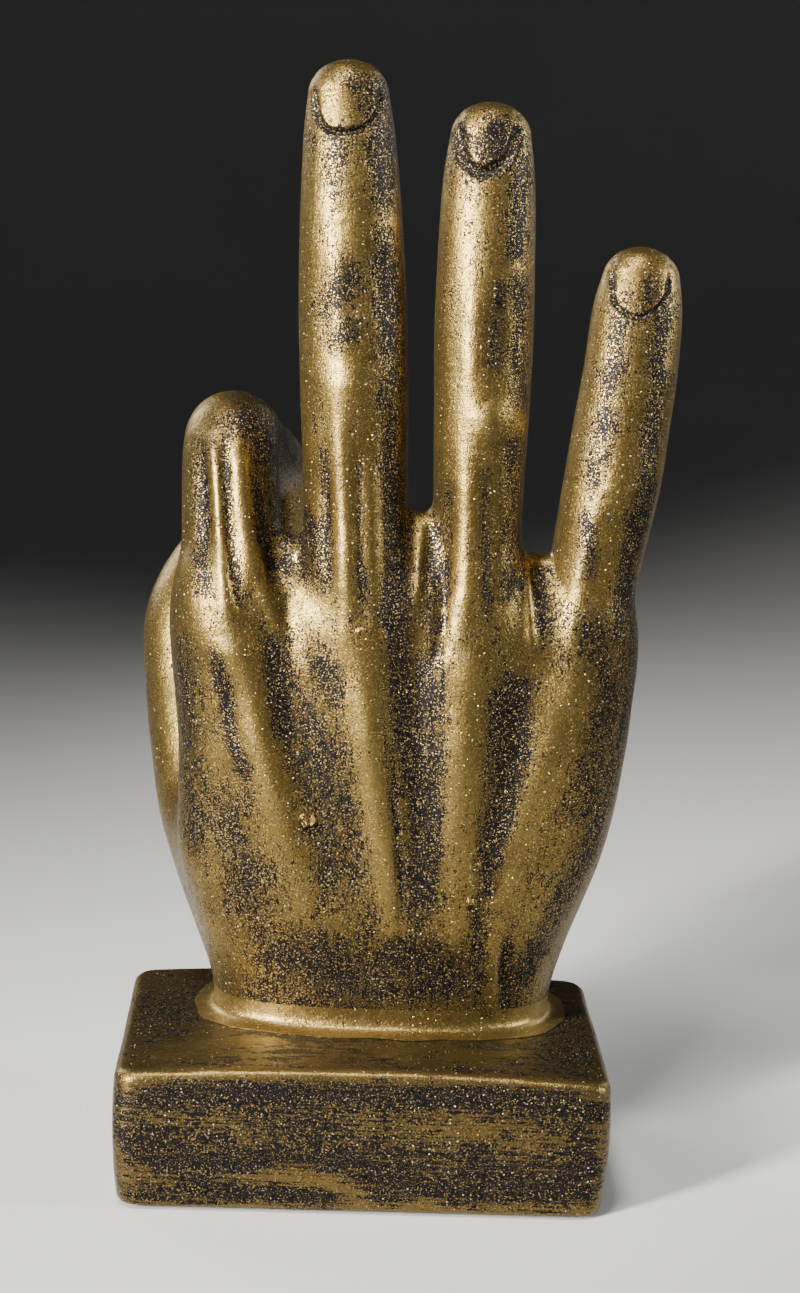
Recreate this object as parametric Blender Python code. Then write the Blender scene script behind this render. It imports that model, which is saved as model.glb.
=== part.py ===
"""Desk statue of a life-size right hand: three fingers stand up, and the index bends back to meet the thumb.

The hand is one resin casting. Its wrist stands in a pocket in a heavy resin plinth, a rod, a washer and a nut
draw it down, two pins keep it from turning, a bead of filler hides the joint and felt covers the underside.
Sizes are in millimetres. X runs to the little finger, Y to the palm side and Z up from the underside.
"""

import math

import bmesh
import bpy
import numpy as np

MM = 0.001
NO_SHARE = 60.0

# Clearances between neighbouring solids
SEAT_GAP = 0.3
SKIN_GAP = 0.45
BORE_PLAY = 0.3

# Felt
FELT_THICKNESS = 1.3
FELT_PROUD = 0.5
FELT_INSET = 4.0
FELT_CORNER = 3.0

# Plinth
PLINTH_WIDTH = 96.0
PLINTH_DEPTH = 67.4
PLINTH_HEIGHT = 27.4
PLINTH_CORNER = 4.5
PLINTH_TOP_ROUND = 1.8
PLINTH_FOOT_ROUND = 1.4
PLINTH_BELLY = 0.8
PLINTH_FOOT_DRAFT = 0.9
PLINTH_CROWN = 1.7
CROWN_STRIPS = 10

# Wrist joint
WRIST_X = 3.8
WRIST_Y = 8.5
POCKET_DEPTH = 7.0
FILLET_HEIGHT = 4.2
FILLET_SPREAD = 3.8
FILLET_LIP = 0.6

# Fixings
ROD_DIAMETER = 8.0
ROD_IN_HAND = 40.0
ROD_CHAMFER = 0.8
NUT_ACROSS_FLATS = 13.0
NUT_HEIGHT = 6.5
WASHER_DIAMETER = 22.0
WASHER_THICKNESS = 2.0
COUNTERBORE_DIAMETER = 26.0
COUNTERBORE_DEPTH = 12.0
ROD_PAST_NUT = 1.2
PIN_DIAMETER = 4.0
PIN_LENGTH = 24.0
PIN_SPACING = 38.0
PIN_CHAMFER = 0.4

# Height of the plinth's top edge that the heights of the hand below are measured with
HAND_DATUM = 27.9

# Fingers: knuckle centre, end of the ray inside the palm, bone lengths, bends from upright towards
# the palm, leans towards the little finger, and the half breadths and half depths from knuckle to tip
INDEX_KNUCKLE = (-28.6, -0.6, 106.0)
INDEX_RAY_END = (-14.0, 2.5, 56.0)
INDEX_BONES = (39.6, 26.0, 25.5)
INDEX_BENDS = (13.0, 108.0, 146.0)
INDEX_LEANS = (-1.5, 13.0, 7.0)
INDEX_BREADTHS = (10.0, 9.8, 9.4, 8.9, 8.7, 8.4, 7.7)
INDEX_DEPTHS = (10.6, 9.8, 9.1, 8.6, 8.3, 7.8, 6.8)

MIDDLE_KNUCKLE = (-3.8, -1.6, 111.0)
MIDDLE_RAY_END = (3.0, 2.5, 56.0)
MIDDLE_BONES = (48.0, 31.2, 29.2)
MIDDLE_BENDS = (0.5, 3.5, 6.0)
MIDDLE_LEANS = (-2.8, -3.0, -3.2)
MIDDLE_BREADTHS = (10.5, 10.2, 10.5, 10.4, 9.8, 8.9, 7.8)
MIDDLE_DEPTHS = (10.8, 10.2, 10.0, 9.3, 8.7, 7.7, 6.2)

RING_KNUCKLE = (19.0, -1.2, 107.0)
RING_RAY_END = (14.0, 2.5, 56.0)
RING_BONES = (46.4, 30.1, 28.8)
RING_BENDS = (0.5, 3.5, 6.0)
RING_LEANS = (-0.2, -0.5, 0.0)
RING_BREADTHS = (9.8, 8.7, 9.3, 9.6, 9.4, 8.9, 7.8)
RING_DEPTHS = (10.6, 9.6, 9.4, 8.9, 8.4, 7.5, 6.0)

LITTLE_KNUCKLE = (39.0, 0.2, 101.0)
LITTLE_RAY_END = (24.0, 3.5, 54.0)
LITTLE_BONES = (39.4, 21.5, 24.6)
LITTLE_BENDS = (1.5, 4.5, 7.0)
LITTLE_LEANS = (9.0, 7.0, 4.5)
LITTLE_BREADTHS = (9.5, 8.9, 9.5, 9.4, 9.2, 8.8, 7.6)
LITTLE_DEPTHS = (9.8, 9.0, 8.9, 8.3, 8.0, 7.2, 5.8)

# Rays grow thinner than the knuckle by this much at the wrist end
RAY_THINNER = (4.0, 3.5)

# Thumb: centres from the wrist to the tip, half breadths, half depths, and which way its back faces
THUMB_CENTRES = (
    (-13.0, 15.0, 38.0),
    (-21.5, 18.5, 50.0),
    (-29.6, 22.0, 64.0),
    (-34.2, 27.0, 79.0),
    (-37.3, 33.4, 90.9),
    (-37.7, 39.3, 102.4),
    (-33.9, 44.4, 111.4),
    (-29.7, 47.2, 117.0),
)
THUMB_BREADTHS = (12.5, 13.0, 12.2, 10.9, 10.0, 10.4, 10.0, 8.4)
THUMB_DEPTHS = (12.5, 13.0, 12.6, 11.2, 9.8, 9.8, 8.8, 7.2)
THUMB_BACKS = (
    (-0.6, -0.8, 0.2),
    (-0.7, -0.6, 0.2),
    (-0.85, -0.3, 0.1),
    (-0.9, 0.0, -0.1),
    (-0.85, 0.3, -0.3),
    (-0.7, 0.45, -0.5),
    (-0.55, 0.5, -0.65),
    (-0.5, 0.5, -0.7),
)

# Fleshy heel of the hand under the little finger
HEEL_CENTRES = ((27.5, 15.0, 36.0), (31.5, 15.0, 52.0), (36.0, 11.5, 70.0), (38.0, 7.0, 88.0))
HEEL_BREADTHS = (9.5, 11.0, 11.0, 9.5)
HEEL_DEPTHS = (11.0, 12.0, 10.5, 8.5)

# Ball of the thumb, as one oval
BALL_CENTRE = (-17.0, 22.0, 58.0)
BALL_RADII = (13.0, 11.0, 20.0)

# Palm and wrist sections: height, thumb edge, little-finger edge, back and palm faces
PALM_SECTIONS = (
    (14.0, -29.2, 36.2, -9.6, 26.5),
    (28.0, -29.6, 36.4, -9.6, 26.5),
    (36.0, -30.5, 37.0, -9.8, 27.0),
    (44.0, -32.8, 39.0, -10.3, 27.2),
    (53.0, -35.6, 42.4, -11.0, 25.8),
    (62.0, -38.0, 45.6, -11.5, 22.8),
    (74.0, -38.4, 48.4, -12.0, 19.5),
    (86.0, -38.4, 50.0, -12.2, 16.5),
    (97.0, -38.6, 50.6, -11.6, 15.0),
    (106.0, -38.2, 50.0, -10.6, 13.6),
    (113.0, -36.8, 47.6, -9.0, 12.2),
    (118.5, -34.0, 43.5, -6.5, 9.6),
    (122.5, -29.0, 38.0, -3.0, 5.6),
)
PALM_SQUARENESS = 2.5
PALM_TOP_ROUND = 3.0

# Webs between the fingers: the two ends of each fold, its half width
WEB_INDEX_MIDDLE = ((-18.2, 1.0, 124.0), (-17.2, 0.5, 112.0))
WEB_MIDDLE_RING = ((7.6, -1.0, 129.5), (7.4, -3.0, 114.0))
WEB_RING_LITTLE = ((28.8, 0.0, 121.0), (28.0, -1.5, 108.0))
WEB_RADII = (3.2, 5.5)

# Tendons on the back of the hand: knuckle end and wrist end (X, Z), height and half width
TENDONS = (
    ((-26.5, 108.0), (-12.5, 56.0)),
    ((-3.6, 112.0), (4.5, 56.0)),
    ((19.4, 106.0), (16.5, 56.0)),
    ((36.5, 98.0), (23.0, 46.0)),
)
TENDON_HEIGHT = 1.5
TENDON_HALF_WIDTH = 2.6
TENDON_LAST_Y = 2.0
TENDON_FADE = 6.0

# How widely neighbouring shapes melt together
BLEND_FINGER_PALM = 8.0
BLEND_FINGERS = 1.2
BLEND_WEB = 4.0
BLEND_FLESH = 9.0
BLEND_THUMB_ROOT = 9.0
BLEND_THUMB_TIP = 3.0
THUMB_ROOT_TOP = 78.0
THUMB_FREE_FROM = 100.0

# Mesh of the casting
SKIN_VOXEL = 1.7
SOFTENING_ROUNDS = 6
SKIN_TRIANGLES = 9600
SECTION_STEPS = 4
RING_POINTS = 20
OUTLINE_REACH = (5.0, 70.0)


def clear_scene():
    for obj in list(bpy.data.objects):
        bpy.data.objects.remove(obj)


def plinth_top(x=PLINTH_WIDTH / 2):
    """Height of the plinth's top, which is crowned from its left edge to its right edge."""
    crown = PLINTH_CROWN * (1 - (2 * x / PLINTH_WIDTH) ** 2)
    return FELT_PROUD + PLINTH_HEIGHT + crown


def pocket_floor():
    return plinth_top() - POCKET_DEPTH


def wrist_bottom():
    return pocket_floor() + SEAT_GAP


def hand_rise():
    """How far a higher plinth lifts the hand."""
    return plinth_top() - HAND_DATUM


def make_material(name, colour, roughness, metallic):
    material = bpy.data.materials.new(name)
    material.use_nodes = True
    shader = material.node_tree.nodes["Principled BSDF"]
    shader.inputs["Base Color"].default_value = (*colour, 1.0)
    shader.inputs["Roughness"].default_value = roughness
    shader.inputs["Metallic"].default_value = metallic
    return material


def make_object(name, mesh, material=None):
    obj = bpy.data.objects.new(name, mesh)
    bpy.context.scene.collection.objects.link(obj)
    if material:
        mesh.materials.append(material)
    return obj


def mesh_from(bm, name):
    """The bmesh, drawn in millimetres, as a mesh in metres with its faces pointing out."""
    bmesh.ops.recalc_face_normals(bm, faces=bm.faces)
    bmesh.ops.scale(bm, vec=(MM, MM, MM), verts=bm.verts)
    mesh = bpy.data.meshes.new(name)
    bm.to_mesh(mesh)
    bm.free()
    return mesh


def smooth_rounds(mesh, degrees=35.0):
    mesh.shade_smooth()
    mesh.set_sharp_from_angle(angle=math.radians(degrees))


def cut(obj, cutter):
    """Takes the cutter away from the object, and keeps the cutter as a hidden guide."""
    cutter.hide_render = True
    cutter.display_type = "WIRE"
    modifier = obj.modifiers.new(cutter.name, "BOOLEAN")
    modifier.operation = "DIFFERENCE"
    modifier.solver = "EXACT"
    modifier.object = cutter


def loft(bm, rings):
    """Joins closed rings of as many points each by bands of faces, and caps both ends."""
    made = [[bm.verts.new(point) for point in ring] for ring in rings]
    for low, high in zip(made, made[1:]):
        for i, vert in enumerate(low):
            j = (i + 1) % len(low)
            bm.faces.new((vert, low[j], high[j], high[i]))
    bm.faces.new(list(reversed(made[0])))
    bm.faces.new(made[-1])


def rod_mesh(name, diameter, low, high, centre, chamfer=0.0, segments=32):
    """An upright round bar, chamfered at both ends where a chamfer is given."""
    radius = diameter / 2
    heights = [(low, radius - chamfer), (low + chamfer, radius), (high - chamfer, radius), (high, radius - chamfer)]
    if not chamfer:
        heights = [(low, radius), (high, radius)]
    rings = []
    for z, r in heights:
        angles = [2 * math.pi * i / segments for i in range(segments)]
        rings.append([(centre[0] + r * math.cos(a), centre[1] + r * math.sin(a), z) for a in angles])
    bm = bmesh.new()
    loft(bm, rings)
    mesh = mesh_from(bm, name)
    smooth_rounds(mesh)
    return mesh


def ring_mesh(name, outer, inner, low, high, centre, segments):
    """An upright ring: its outer edge has the segments asked for, so that six make a nut."""
    bm = bmesh.new()
    hole_segments = 36
    count = segments * (hole_segments // segments) if segments < hole_segments else segments
    corners = [2 * math.pi * i / segments for i in range(segments)]
    rows = []
    for z, edge in ((low, outer), (high, outer), (high, inner), (low, inner)):
        row = []
        for i in range(count):
            angle = 2 * math.pi * i / count
            reach = edge / 2
            if edge == outer and segments < count:
                turn = (angle + math.pi / segments) % (2 * math.pi / segments) - math.pi / segments
                reach = edge / 2 / math.cos(turn)
            x, y = centre[0] + reach * math.cos(angle), centre[1] + reach * math.sin(angle)
            row.append(bm.verts.new((x, y, z)))
        rows.append(row)
    for first, second in zip(rows, rows[1:] + rows[:1]):
        for i in range(count):
            j = (i + 1) % count
            bm.faces.new((first[i], first[j], second[j], second[i]))
    mesh = mesh_from(bm, name)
    smooth_rounds(mesh)
    return mesh


def rounded_rectangle(width, depth, corner, z, steps=7):
    """Points round a rectangle with round corners, centred on the Z axis."""
    points = []
    for quarter, (sx, sy) in enumerate(((1, 1), (-1, 1), (-1, -1), (1, -1))):
        for i in range(steps + 1):
            angle = math.pi / 2 * (quarter + i / steps)
            x = sx * (width / 2 - corner) + corner * math.cos(angle)
            y = sy * (depth / 2 - corner) + corner * math.sin(angle)
            points.append((x, y, z))
    return points


def felt_rings(grown, low, high):
    """Outline of the felt, or of the recess that it lies in, at two heights."""
    width = PLINTH_WIDTH - 2 * FELT_INSET + 2 * grown
    depth = PLINTH_DEPTH - 2 * FELT_INSET + 2 * grown
    return [rounded_rectangle(width, depth, FELT_CORNER + grown, z) for z in (low, high)]


def recess_top():
    return FELT_THICKNESS + SEAT_GAP


def crown_block(bm, low, high):
    """Splits the block into strips across its width and lifts its top into a shallow arch."""
    for number in range(1, CROWN_STRIPS):
        x = PLINTH_WIDTH * (number / CROWN_STRIPS - 0.5)
        everything = bm.verts[:] + bm.edges[:] + bm.faces[:]
        bmesh.ops.bisect_plane(bm, geom=everything, plane_co=(x, 0, 0), plane_no=(1, 0, 0))
    for vert in bm.verts:
        share = (vert.co.z - low) / (high - low)
        vert.co.z += share * (plinth_top(vert.co.x) - high)


def plinth_mesh():
    """A block with round edges, whose four sides swell a little at half height."""
    low, high = FELT_PROUD, plinth_top()
    foot, top, steps = PLINTH_FOOT_ROUND, PLINTH_TOP_ROUND, 4
    turns = [math.pi / 2 * i / steps for i in range(steps + 1)]
    levels = [(low + foot * (1 - math.cos(turn)), foot * (1 - math.sin(turn))) for turn in turns]
    levels += [(low + foot + share * (high - low - foot - top), 0.0) for share in (0.25, 0.5, 0.75)]
    levels += [(high - top * (1 - math.cos(turn)), top * (1 - math.sin(turn))) for turn in reversed(turns)]
    rings = []
    for z, inset in levels:
        share = (z - low) / (high - low)
        belly = PLINTH_BELLY * math.sin(math.pi * share)
        grow = 2 * (belly - PLINTH_FOOT_DRAFT * (1 - share) - inset)
        corner = PLINTH_CORNER - inset
        rings.append(rounded_rectangle(PLINTH_WIDTH + grow, PLINTH_DEPTH + grow, corner, z))
    bm = bmesh.new()
    loft(bm, rings)
    crown_block(bm, low, high)
    mesh = mesh_from(bm, "plinth")
    smooth_rounds(mesh, 50.0)
    return mesh


def curve_rows(rows, steps):
    """Rows of numbers with more between them, along a smooth curve through them all."""
    rows = np.array(rows, float)
    ends = np.vstack([2 * rows[0] - rows[1], rows, 2 * rows[-1] - rows[-2]])
    made = []
    for i in range(1, len(ends) - 2):
        a, b, c, d = ends[i - 1 : i + 3]
        for t in np.arange(steps) / steps:
            bend = 2 * a - 5 * b + 4 * c - d
            twist = 3 * b - a - 3 * c + d
            made.append(0.5 * (2 * b + (c - a) * t + bend * t**2 + twist * t**3))
    made.append(rows[-1])
    return np.array(made)


def limb_rows(centres, breadths, depths, backs):
    """A limb as rows of centre, half breadth, half depth and the way that its back faces."""
    return curve_rows(np.column_stack([centres, breadths, depths, backs]), SECTION_STEPS)


def bone_direction(bend, lean):
    bend, lean = math.radians(bend), math.radians(lean)
    return np.array((math.sin(lean), math.cos(lean) * math.sin(bend), math.cos(lean) * math.cos(bend)))


def finger_rows(knuckle, ray_end, bones, bends, leans, breadths, depths):
    """A finger from inside the palm to its tip, with a section at each joint and halfway along each bone."""
    ways = [bone_direction(bend, lean) for bend, lean in zip(bends, leans)]
    joints = [np.array(knuckle, float)]
    for bone, way in zip(bones, ways):
        joints.append(joints[-1] + bone * way)
    tip_round = math.sqrt(breadths[-1] * depths[-1])
    centres = [
        ray_end,
        joints[0],
        joints[0] + bones[0] / 2 * ways[0],
        joints[1],
        joints[1] + bones[1] / 2 * ways[1],
        joints[2],
        joints[2] + 0.45 * bones[2] * ways[2],
        joints[3] - tip_round * ways[2],
    ]
    breadths = (breadths[0] - RAY_THINNER[0], *breadths)
    depths = (depths[0] - RAY_THINNER[1], *depths)
    ahead = [ways[0], ways[0], ways[0], ways[0] + ways[1], ways[1], ways[1] + ways[2], ways[2], ways[2]]
    backs = [np.cross((1.0, 0.0, 0.0), way / np.linalg.norm(way)) for way in ahead]
    return limb_rows(centres, breadths, depths, backs)


def all_fingers():
    return [
        finger_rows(
            INDEX_KNUCKLE, INDEX_RAY_END, INDEX_BONES, INDEX_BENDS, INDEX_LEANS, INDEX_BREADTHS, INDEX_DEPTHS
        ),
        finger_rows(
            MIDDLE_KNUCKLE, MIDDLE_RAY_END, MIDDLE_BONES, MIDDLE_BENDS, MIDDLE_LEANS, MIDDLE_BREADTHS, MIDDLE_DEPTHS
        ),
        finger_rows(RING_KNUCKLE, RING_RAY_END, RING_BONES, RING_BENDS, RING_LEANS, RING_BREADTHS, RING_DEPTHS),
        finger_rows(
            LITTLE_KNUCKLE, LITTLE_RAY_END, LITTLE_BONES, LITTLE_BENDS, LITTLE_LEANS, LITTLE_BREADTHS, LITTLE_DEPTHS
        ),
    ]


def hand_limbs():
    """Every limb of the hand by name."""
    heel_backs = [(0.0, -1.0, 0.0)] * len(HEEL_CENTRES)
    return {
        "fingers": all_fingers(),
        "thumb": limb_rows(THUMB_CENTRES, THUMB_BREADTHS, THUMB_DEPTHS, THUMB_BACKS),
        "heel": limb_rows(HEEL_CENTRES, HEEL_BREADTHS, HEEL_DEPTHS, heel_backs),
        "webs": [
            limb_rows(web, WEB_RADII, WEB_RADII, [(0.0, -1.0, 0.0)] * 2)
            for web in (WEB_INDEX_MIDDLE, WEB_MIDDLE_RING, WEB_RING_LITTLE)
        ],
        "palm": curve_rows(PALM_SECTIONS, 2 * SECTION_STEPS),
    }


def oval_distance(u, v, s, breadth, depth, length):
    """Distance to an oval's skin, right near the skin and negative inside it."""
    near = np.sqrt((u / breadth) ** 2 + (v / depth) ** 2 + (s / length) ** 2)
    slope = np.sqrt((u / breadth**2) ** 2 + (v / depth**2) ** 2 + (s / length**2) ** 2)
    return near * (near - 1) / np.maximum(slope, 1e-9)


def limb_distance(points, rows, reach=16.0):
    """Distance to a limb. Points further off than the reach take no part in it."""
    margin = rows[:, 3:5].max() + reach
    inside = (points > rows[:, :3].min(0) - margin) & (points < rows[:, :3].max(0) + margin)
    chosen = inside.all(axis=1)
    near = points[chosen]
    least = np.full(len(near), NO_SHARE)
    for start, end in zip(rows[:-1], rows[1:]):
        step = end[:3] - start[:3]
        length = np.linalg.norm(step)
        axis = step / length
        back = start[5:8] + end[5:8]
        back = back - (back @ axis) * axis
        back /= np.linalg.norm(back)
        offset = near - start[:3]
        along = offset @ axis
        share = np.clip(along / length, 0, 1)
        breadth = start[3] + share * (end[3] - start[3])
        depth = start[4] + share * (end[4] - start[4])
        past_end = along - share * length
        across = offset @ np.cross(axis, back)
        distance = oval_distance(across, offset @ back, past_end, breadth, depth, np.sqrt(breadth * depth))
        least = np.minimum(least, distance)
    result = np.full(len(points), NO_SHARE)
    result[chosen] = least
    return result


def palm_distance(points, sections):
    """Distance to the palm and wrist, whose sections are rounded rectangles with a round top."""
    height = np.clip(points[:, 2], sections[0, 0], sections[-1, 0])
    left, right, back, front = (np.interp(height, sections[:, 0], sections[:, i]) for i in range(1, 5))
    u, v = points[:, 0] - (left + right) / 2, points[:, 1] - (back + front) / 2
    over = np.maximum(points[:, 2] - sections[-1, 0], 0)
    power = PALM_SQUARENESS
    terms = np.abs(2 * u / (right - left)) ** power + np.abs(2 * v / (front - back)) ** power
    ratio = np.maximum((terms + (over / PALM_TOP_ROUND) ** power) ** (1 / power), 1e-3)
    return (1 - 1 / ratio) * np.sqrt(u**2 + v**2 + over**2)


def smooth_min(first, second, blend):
    """The lesser of two distances, with a fillet as wide as the blend where they are alike."""
    share = np.clip(0.5 + 0.5 * (second - first) / blend, 0, 1)
    return second + (first - second) * share - blend * share * (1 - share)


def tendon_relief(points):
    """How far the tendons lift the skin on the back of the hand."""
    lift = np.zeros(len(points))
    flat = points[:, (0, 2)]
    for knuckle, wrist in TENDONS:
        start, end = np.array(knuckle), np.array(wrist)
        step = end - start
        share = np.clip((flat - start) @ step / (step @ step), 0, 1)
        away = np.linalg.norm(flat - start - share[:, None] * step, axis=1)
        fade = np.sin(math.pi * np.clip(0.25 + 0.75 * share, 0, 1)) ** 0.7
        lift = np.maximum(lift, TENDON_HEIGHT * fade * np.exp(-((away / TENDON_HALF_WIDTH) ** 2)))
    on_back = np.clip((TENDON_LAST_Y - points[:, 1]) / TENDON_FADE, 0, 1)
    return lift * on_back


def skin_distance(points, limbs):
    """Distance to the skin of the whole hand."""
    points = points - np.array((0.0, 0.0, hand_rise()))
    palm = palm_distance(points, limbs["palm"])
    palm = smooth_min(palm, limb_distance(points, limbs["heel"]), BLEND_FLESH)
    u, v, s = (points - np.array(BALL_CENTRE)).T
    palm = smooth_min(palm, oval_distance(u, v, s, *BALL_RADII), BLEND_FLESH)
    fingers = np.full(len(points), NO_SHARE)
    for rows in limbs["fingers"]:
        fingers = smooth_min(fingers, limb_distance(points, rows), BLEND_FINGERS)
    for rows in limbs["webs"]:
        fingers = smooth_min(fingers, limb_distance(points, rows), BLEND_WEB)
    hand = smooth_min(palm, fingers, BLEND_FINGER_PALM)
    thumb_blend = np.interp(
        points[:, 2], (THUMB_ROOT_TOP, THUMB_FREE_FROM), (BLEND_THUMB_ROOT, BLEND_THUMB_TIP)
    )
    hand = smooth_min(hand, limb_distance(points, limbs["thumb"]), thumb_blend)
    return hand - tendon_relief(points)


def skin_slope(points, limbs, step=0.2):
    """Which way and how fast the distance to the skin grows."""
    parts = []
    for axis in np.eye(3) * step:
        ahead, behind = skin_distance(points + axis, limbs), skin_distance(points - axis, limbs)
        parts.append((ahead - behind) / (2 * step))
    return np.stack(parts, axis=1)


def oval_rings(rows):
    """Rings of points round a limb, closed down to a small ring past each end."""
    angles = 2 * math.pi * np.arange(RING_POINTS) / RING_POINTS
    rings = []
    steps = np.gradient(rows[:, :3], axis=0)
    for number, (row, step) in enumerate(zip(rows, steps)):
        axis = step / np.linalg.norm(step)
        back = row[5:8] - (row[5:8] @ axis) * axis
        back /= np.linalg.norm(back)
        side = np.cross(axis, back)
        ring = np.outer(np.cos(angles) * row[3], side) + np.outer(np.sin(angles) * row[4], back)
        cap = math.sqrt(row[3] * row[4])
        if number == 0:
            rings.append(row[:3] + 0.5 * ring - 0.85 * cap * axis)
        rings.append(row[:3] + ring)
        if number == len(rows) - 1:
            rings.append(row[:3] + 0.5 * ring + 0.85 * cap * axis)
    return rings


def palm_rings(sections):
    angles = 2 * math.pi * np.arange(2 * RING_POINTS) / (2 * RING_POINTS)
    power = 2 / PALM_SQUARENESS
    cosine = np.sign(np.cos(angles)) * np.abs(np.cos(angles)) ** power
    sine = np.sign(np.sin(angles)) * np.abs(np.sin(angles)) ** power
    rings = []
    for z, left, right, back, front in sections:
        x = (left + right) / 2 + (right - left) / 2 * cosine
        y = (back + front) / 2 + (front - back) / 2 * sine
        rings.append(np.column_stack([x, y, np.full(len(x), z)]))
    return rings


def hand_blank(limbs):
    """The limbs lofted one by one and melted into a single closed body by a voxel remesh."""
    bm = bmesh.new()
    for rows in (*limbs["fingers"], *limbs["webs"], limbs["thumb"], limbs["heel"]):
        loft(bm, oval_rings(rows))
    loft(bm, palm_rings(limbs["palm"]))
    ball = bmesh.ops.create_icosphere(bm, subdivisions=3, radius=1.0)["verts"]
    bmesh.ops.scale(bm, vec=BALL_RADII, verts=ball)
    bmesh.ops.translate(bm, vec=BALL_CENTRE, verts=ball)
    bmesh.ops.translate(bm, vec=(0.0, 0.0, hand_rise()), verts=bm.verts)
    blank = make_object("hand_blank", mesh_from(bm, "hand_blank"))
    remesh = blank.modifiers.new("melt", "REMESH")
    remesh.mode = "VOXEL"
    remesh.voxel_size = SKIN_VOXEL * MM
    soften = blank.modifiers.new("soften", "SMOOTH")
    soften.factor = 0.5
    soften.iterations = SOFTENING_ROUNDS
    graph = bpy.context.evaluated_depsgraph_get()
    mesh = bpy.data.meshes.new_from_object(blank.evaluated_get(graph))
    bpy.data.objects.remove(blank)
    return mesh


def onto_skin(points, limbs):
    """Points moved to the blended skin, along its slope."""
    slope = skin_slope(points, limbs)
    steepness = np.maximum((slope**2).sum(axis=1), 0.3)
    return points - slope * (skin_distance(points, limbs) / steepness)[:, None]


def spread_evenly(points, edges, rounds=2):
    """Points moved halfway to the middle of their neighbours."""
    for _ in range(rounds):
        total, count = np.zeros_like(points), np.zeros(len(points))
        for here, there in (edges.T, edges.T[::-1]):
            np.add.at(total, here, points[there])
            np.add.at(count, here, 1)
        points = 0.5 * points + 0.5 * total / count[:, None]
    return points


def draw_onto_skin(mesh, limbs):
    """Moves the blank's points onto the blended skin, and keeps them evenly spread."""
    points, edges = np.empty(3 * len(mesh.vertices)), np.empty(2 * len(mesh.edges), int)
    mesh.vertices.foreach_get("co", points)
    mesh.edges.foreach_get("vertices", edges)
    points, edges = points.reshape(-1, 3) / MM, edges.reshape(-1, 2)
    points = spread_evenly(onto_skin(points, limbs), edges)
    points = spread_evenly(onto_skin(points, limbs), edges)
    points = onto_skin(onto_skin(points, limbs), limbs)
    mesh.vertices.foreach_set("co", (points * MM).ravel())
    mesh.update()


def trim_wrist(mesh):
    """Cuts the wrist off flat where it stands in the pocket."""
    bm = bmesh.new()
    bm.from_mesh(mesh)
    everything = bm.verts[:] + bm.edges[:] + bm.faces[:]
    level = (0.0, 0.0, wrist_bottom() * MM)
    bmesh.ops.bisect_plane(bm, geom=everything, plane_co=level, plane_no=(0, 0, 1), clear_inner=True)
    rim = [edge for edge in bm.edges if edge.is_boundary]
    bmesh.ops.contextual_create(bm, geom=rim)
    bmesh.ops.triangulate(bm, faces=bm.faces)
    bm.to_mesh(mesh)
    bm.free()


def make_hand(limbs, material):
    mesh = hand_blank(limbs)
    mesh.name = "hand_casting"
    draw_onto_skin(mesh, limbs)
    trim_wrist(mesh)
    mesh.shade_smooth()
    hand = make_object("hand_casting", mesh, material)
    fewer = hand.modifiers.new("fewer faces", "DECIMATE")
    fewer.ratio = min(1.0, SKIN_TRIANGLES / len(mesh.polygons))
    rod_top = wrist_bottom() + ROD_IN_HAND + BORE_PLAY
    cut(hand, bore("hand_rod_bore", ROD_DIAMETER, 0.0, rod_top, rod_place()))
    for number, place in enumerate(pin_places(), 1):
        cut(hand, bore(f"hand_pin_bore_{number}", PIN_DIAMETER, 0.0, pin_top() + BORE_PLAY, place))
    return hand


def bore(name, diameter, low, high, centre):
    """A cutter for a round hole, wider than what goes in it by the play all round."""
    return make_object(name, rod_mesh(name, diameter + 2 * BORE_PLAY, low, high, centre))


def rod_place():
    return (WRIST_X, WRIST_Y)


def pin_places():
    return [(WRIST_X + side * PIN_SPACING / 2, WRIST_Y) for side in (-1, 1)]


def pin_top():
    return wrist_bottom() + PIN_LENGTH / 2


def skin_outline(limbs, height, grown, count=72):
    """The hand's outline at a height, pushed outwards: points on rays from the wrist's centre."""
    angles = 2 * math.pi * np.arange(count) / count
    ways = np.column_stack([np.cos(angles), np.sin(angles), np.zeros(count)])
    centre = np.array((WRIST_X, WRIST_Y, height))
    near, far = (np.full(count, reach) for reach in OUTLINE_REACH)
    for _ in range(24):
        middle = (near + far) / 2
        outside = skin_distance(centre + middle[:, None] * ways, limbs) > 0
        far = np.where(outside, middle, far)
        near = np.where(outside, near, middle)
    outline = centre + far[:, None] * ways
    along = np.roll(outline, -1, axis=0) - np.roll(outline, 1, axis=0)
    outward = np.column_stack([along[:, 1], -along[:, 0], np.zeros(count)])
    return outline + grown * outward / np.linalg.norm(outward, axis=1)[:, None]


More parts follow.
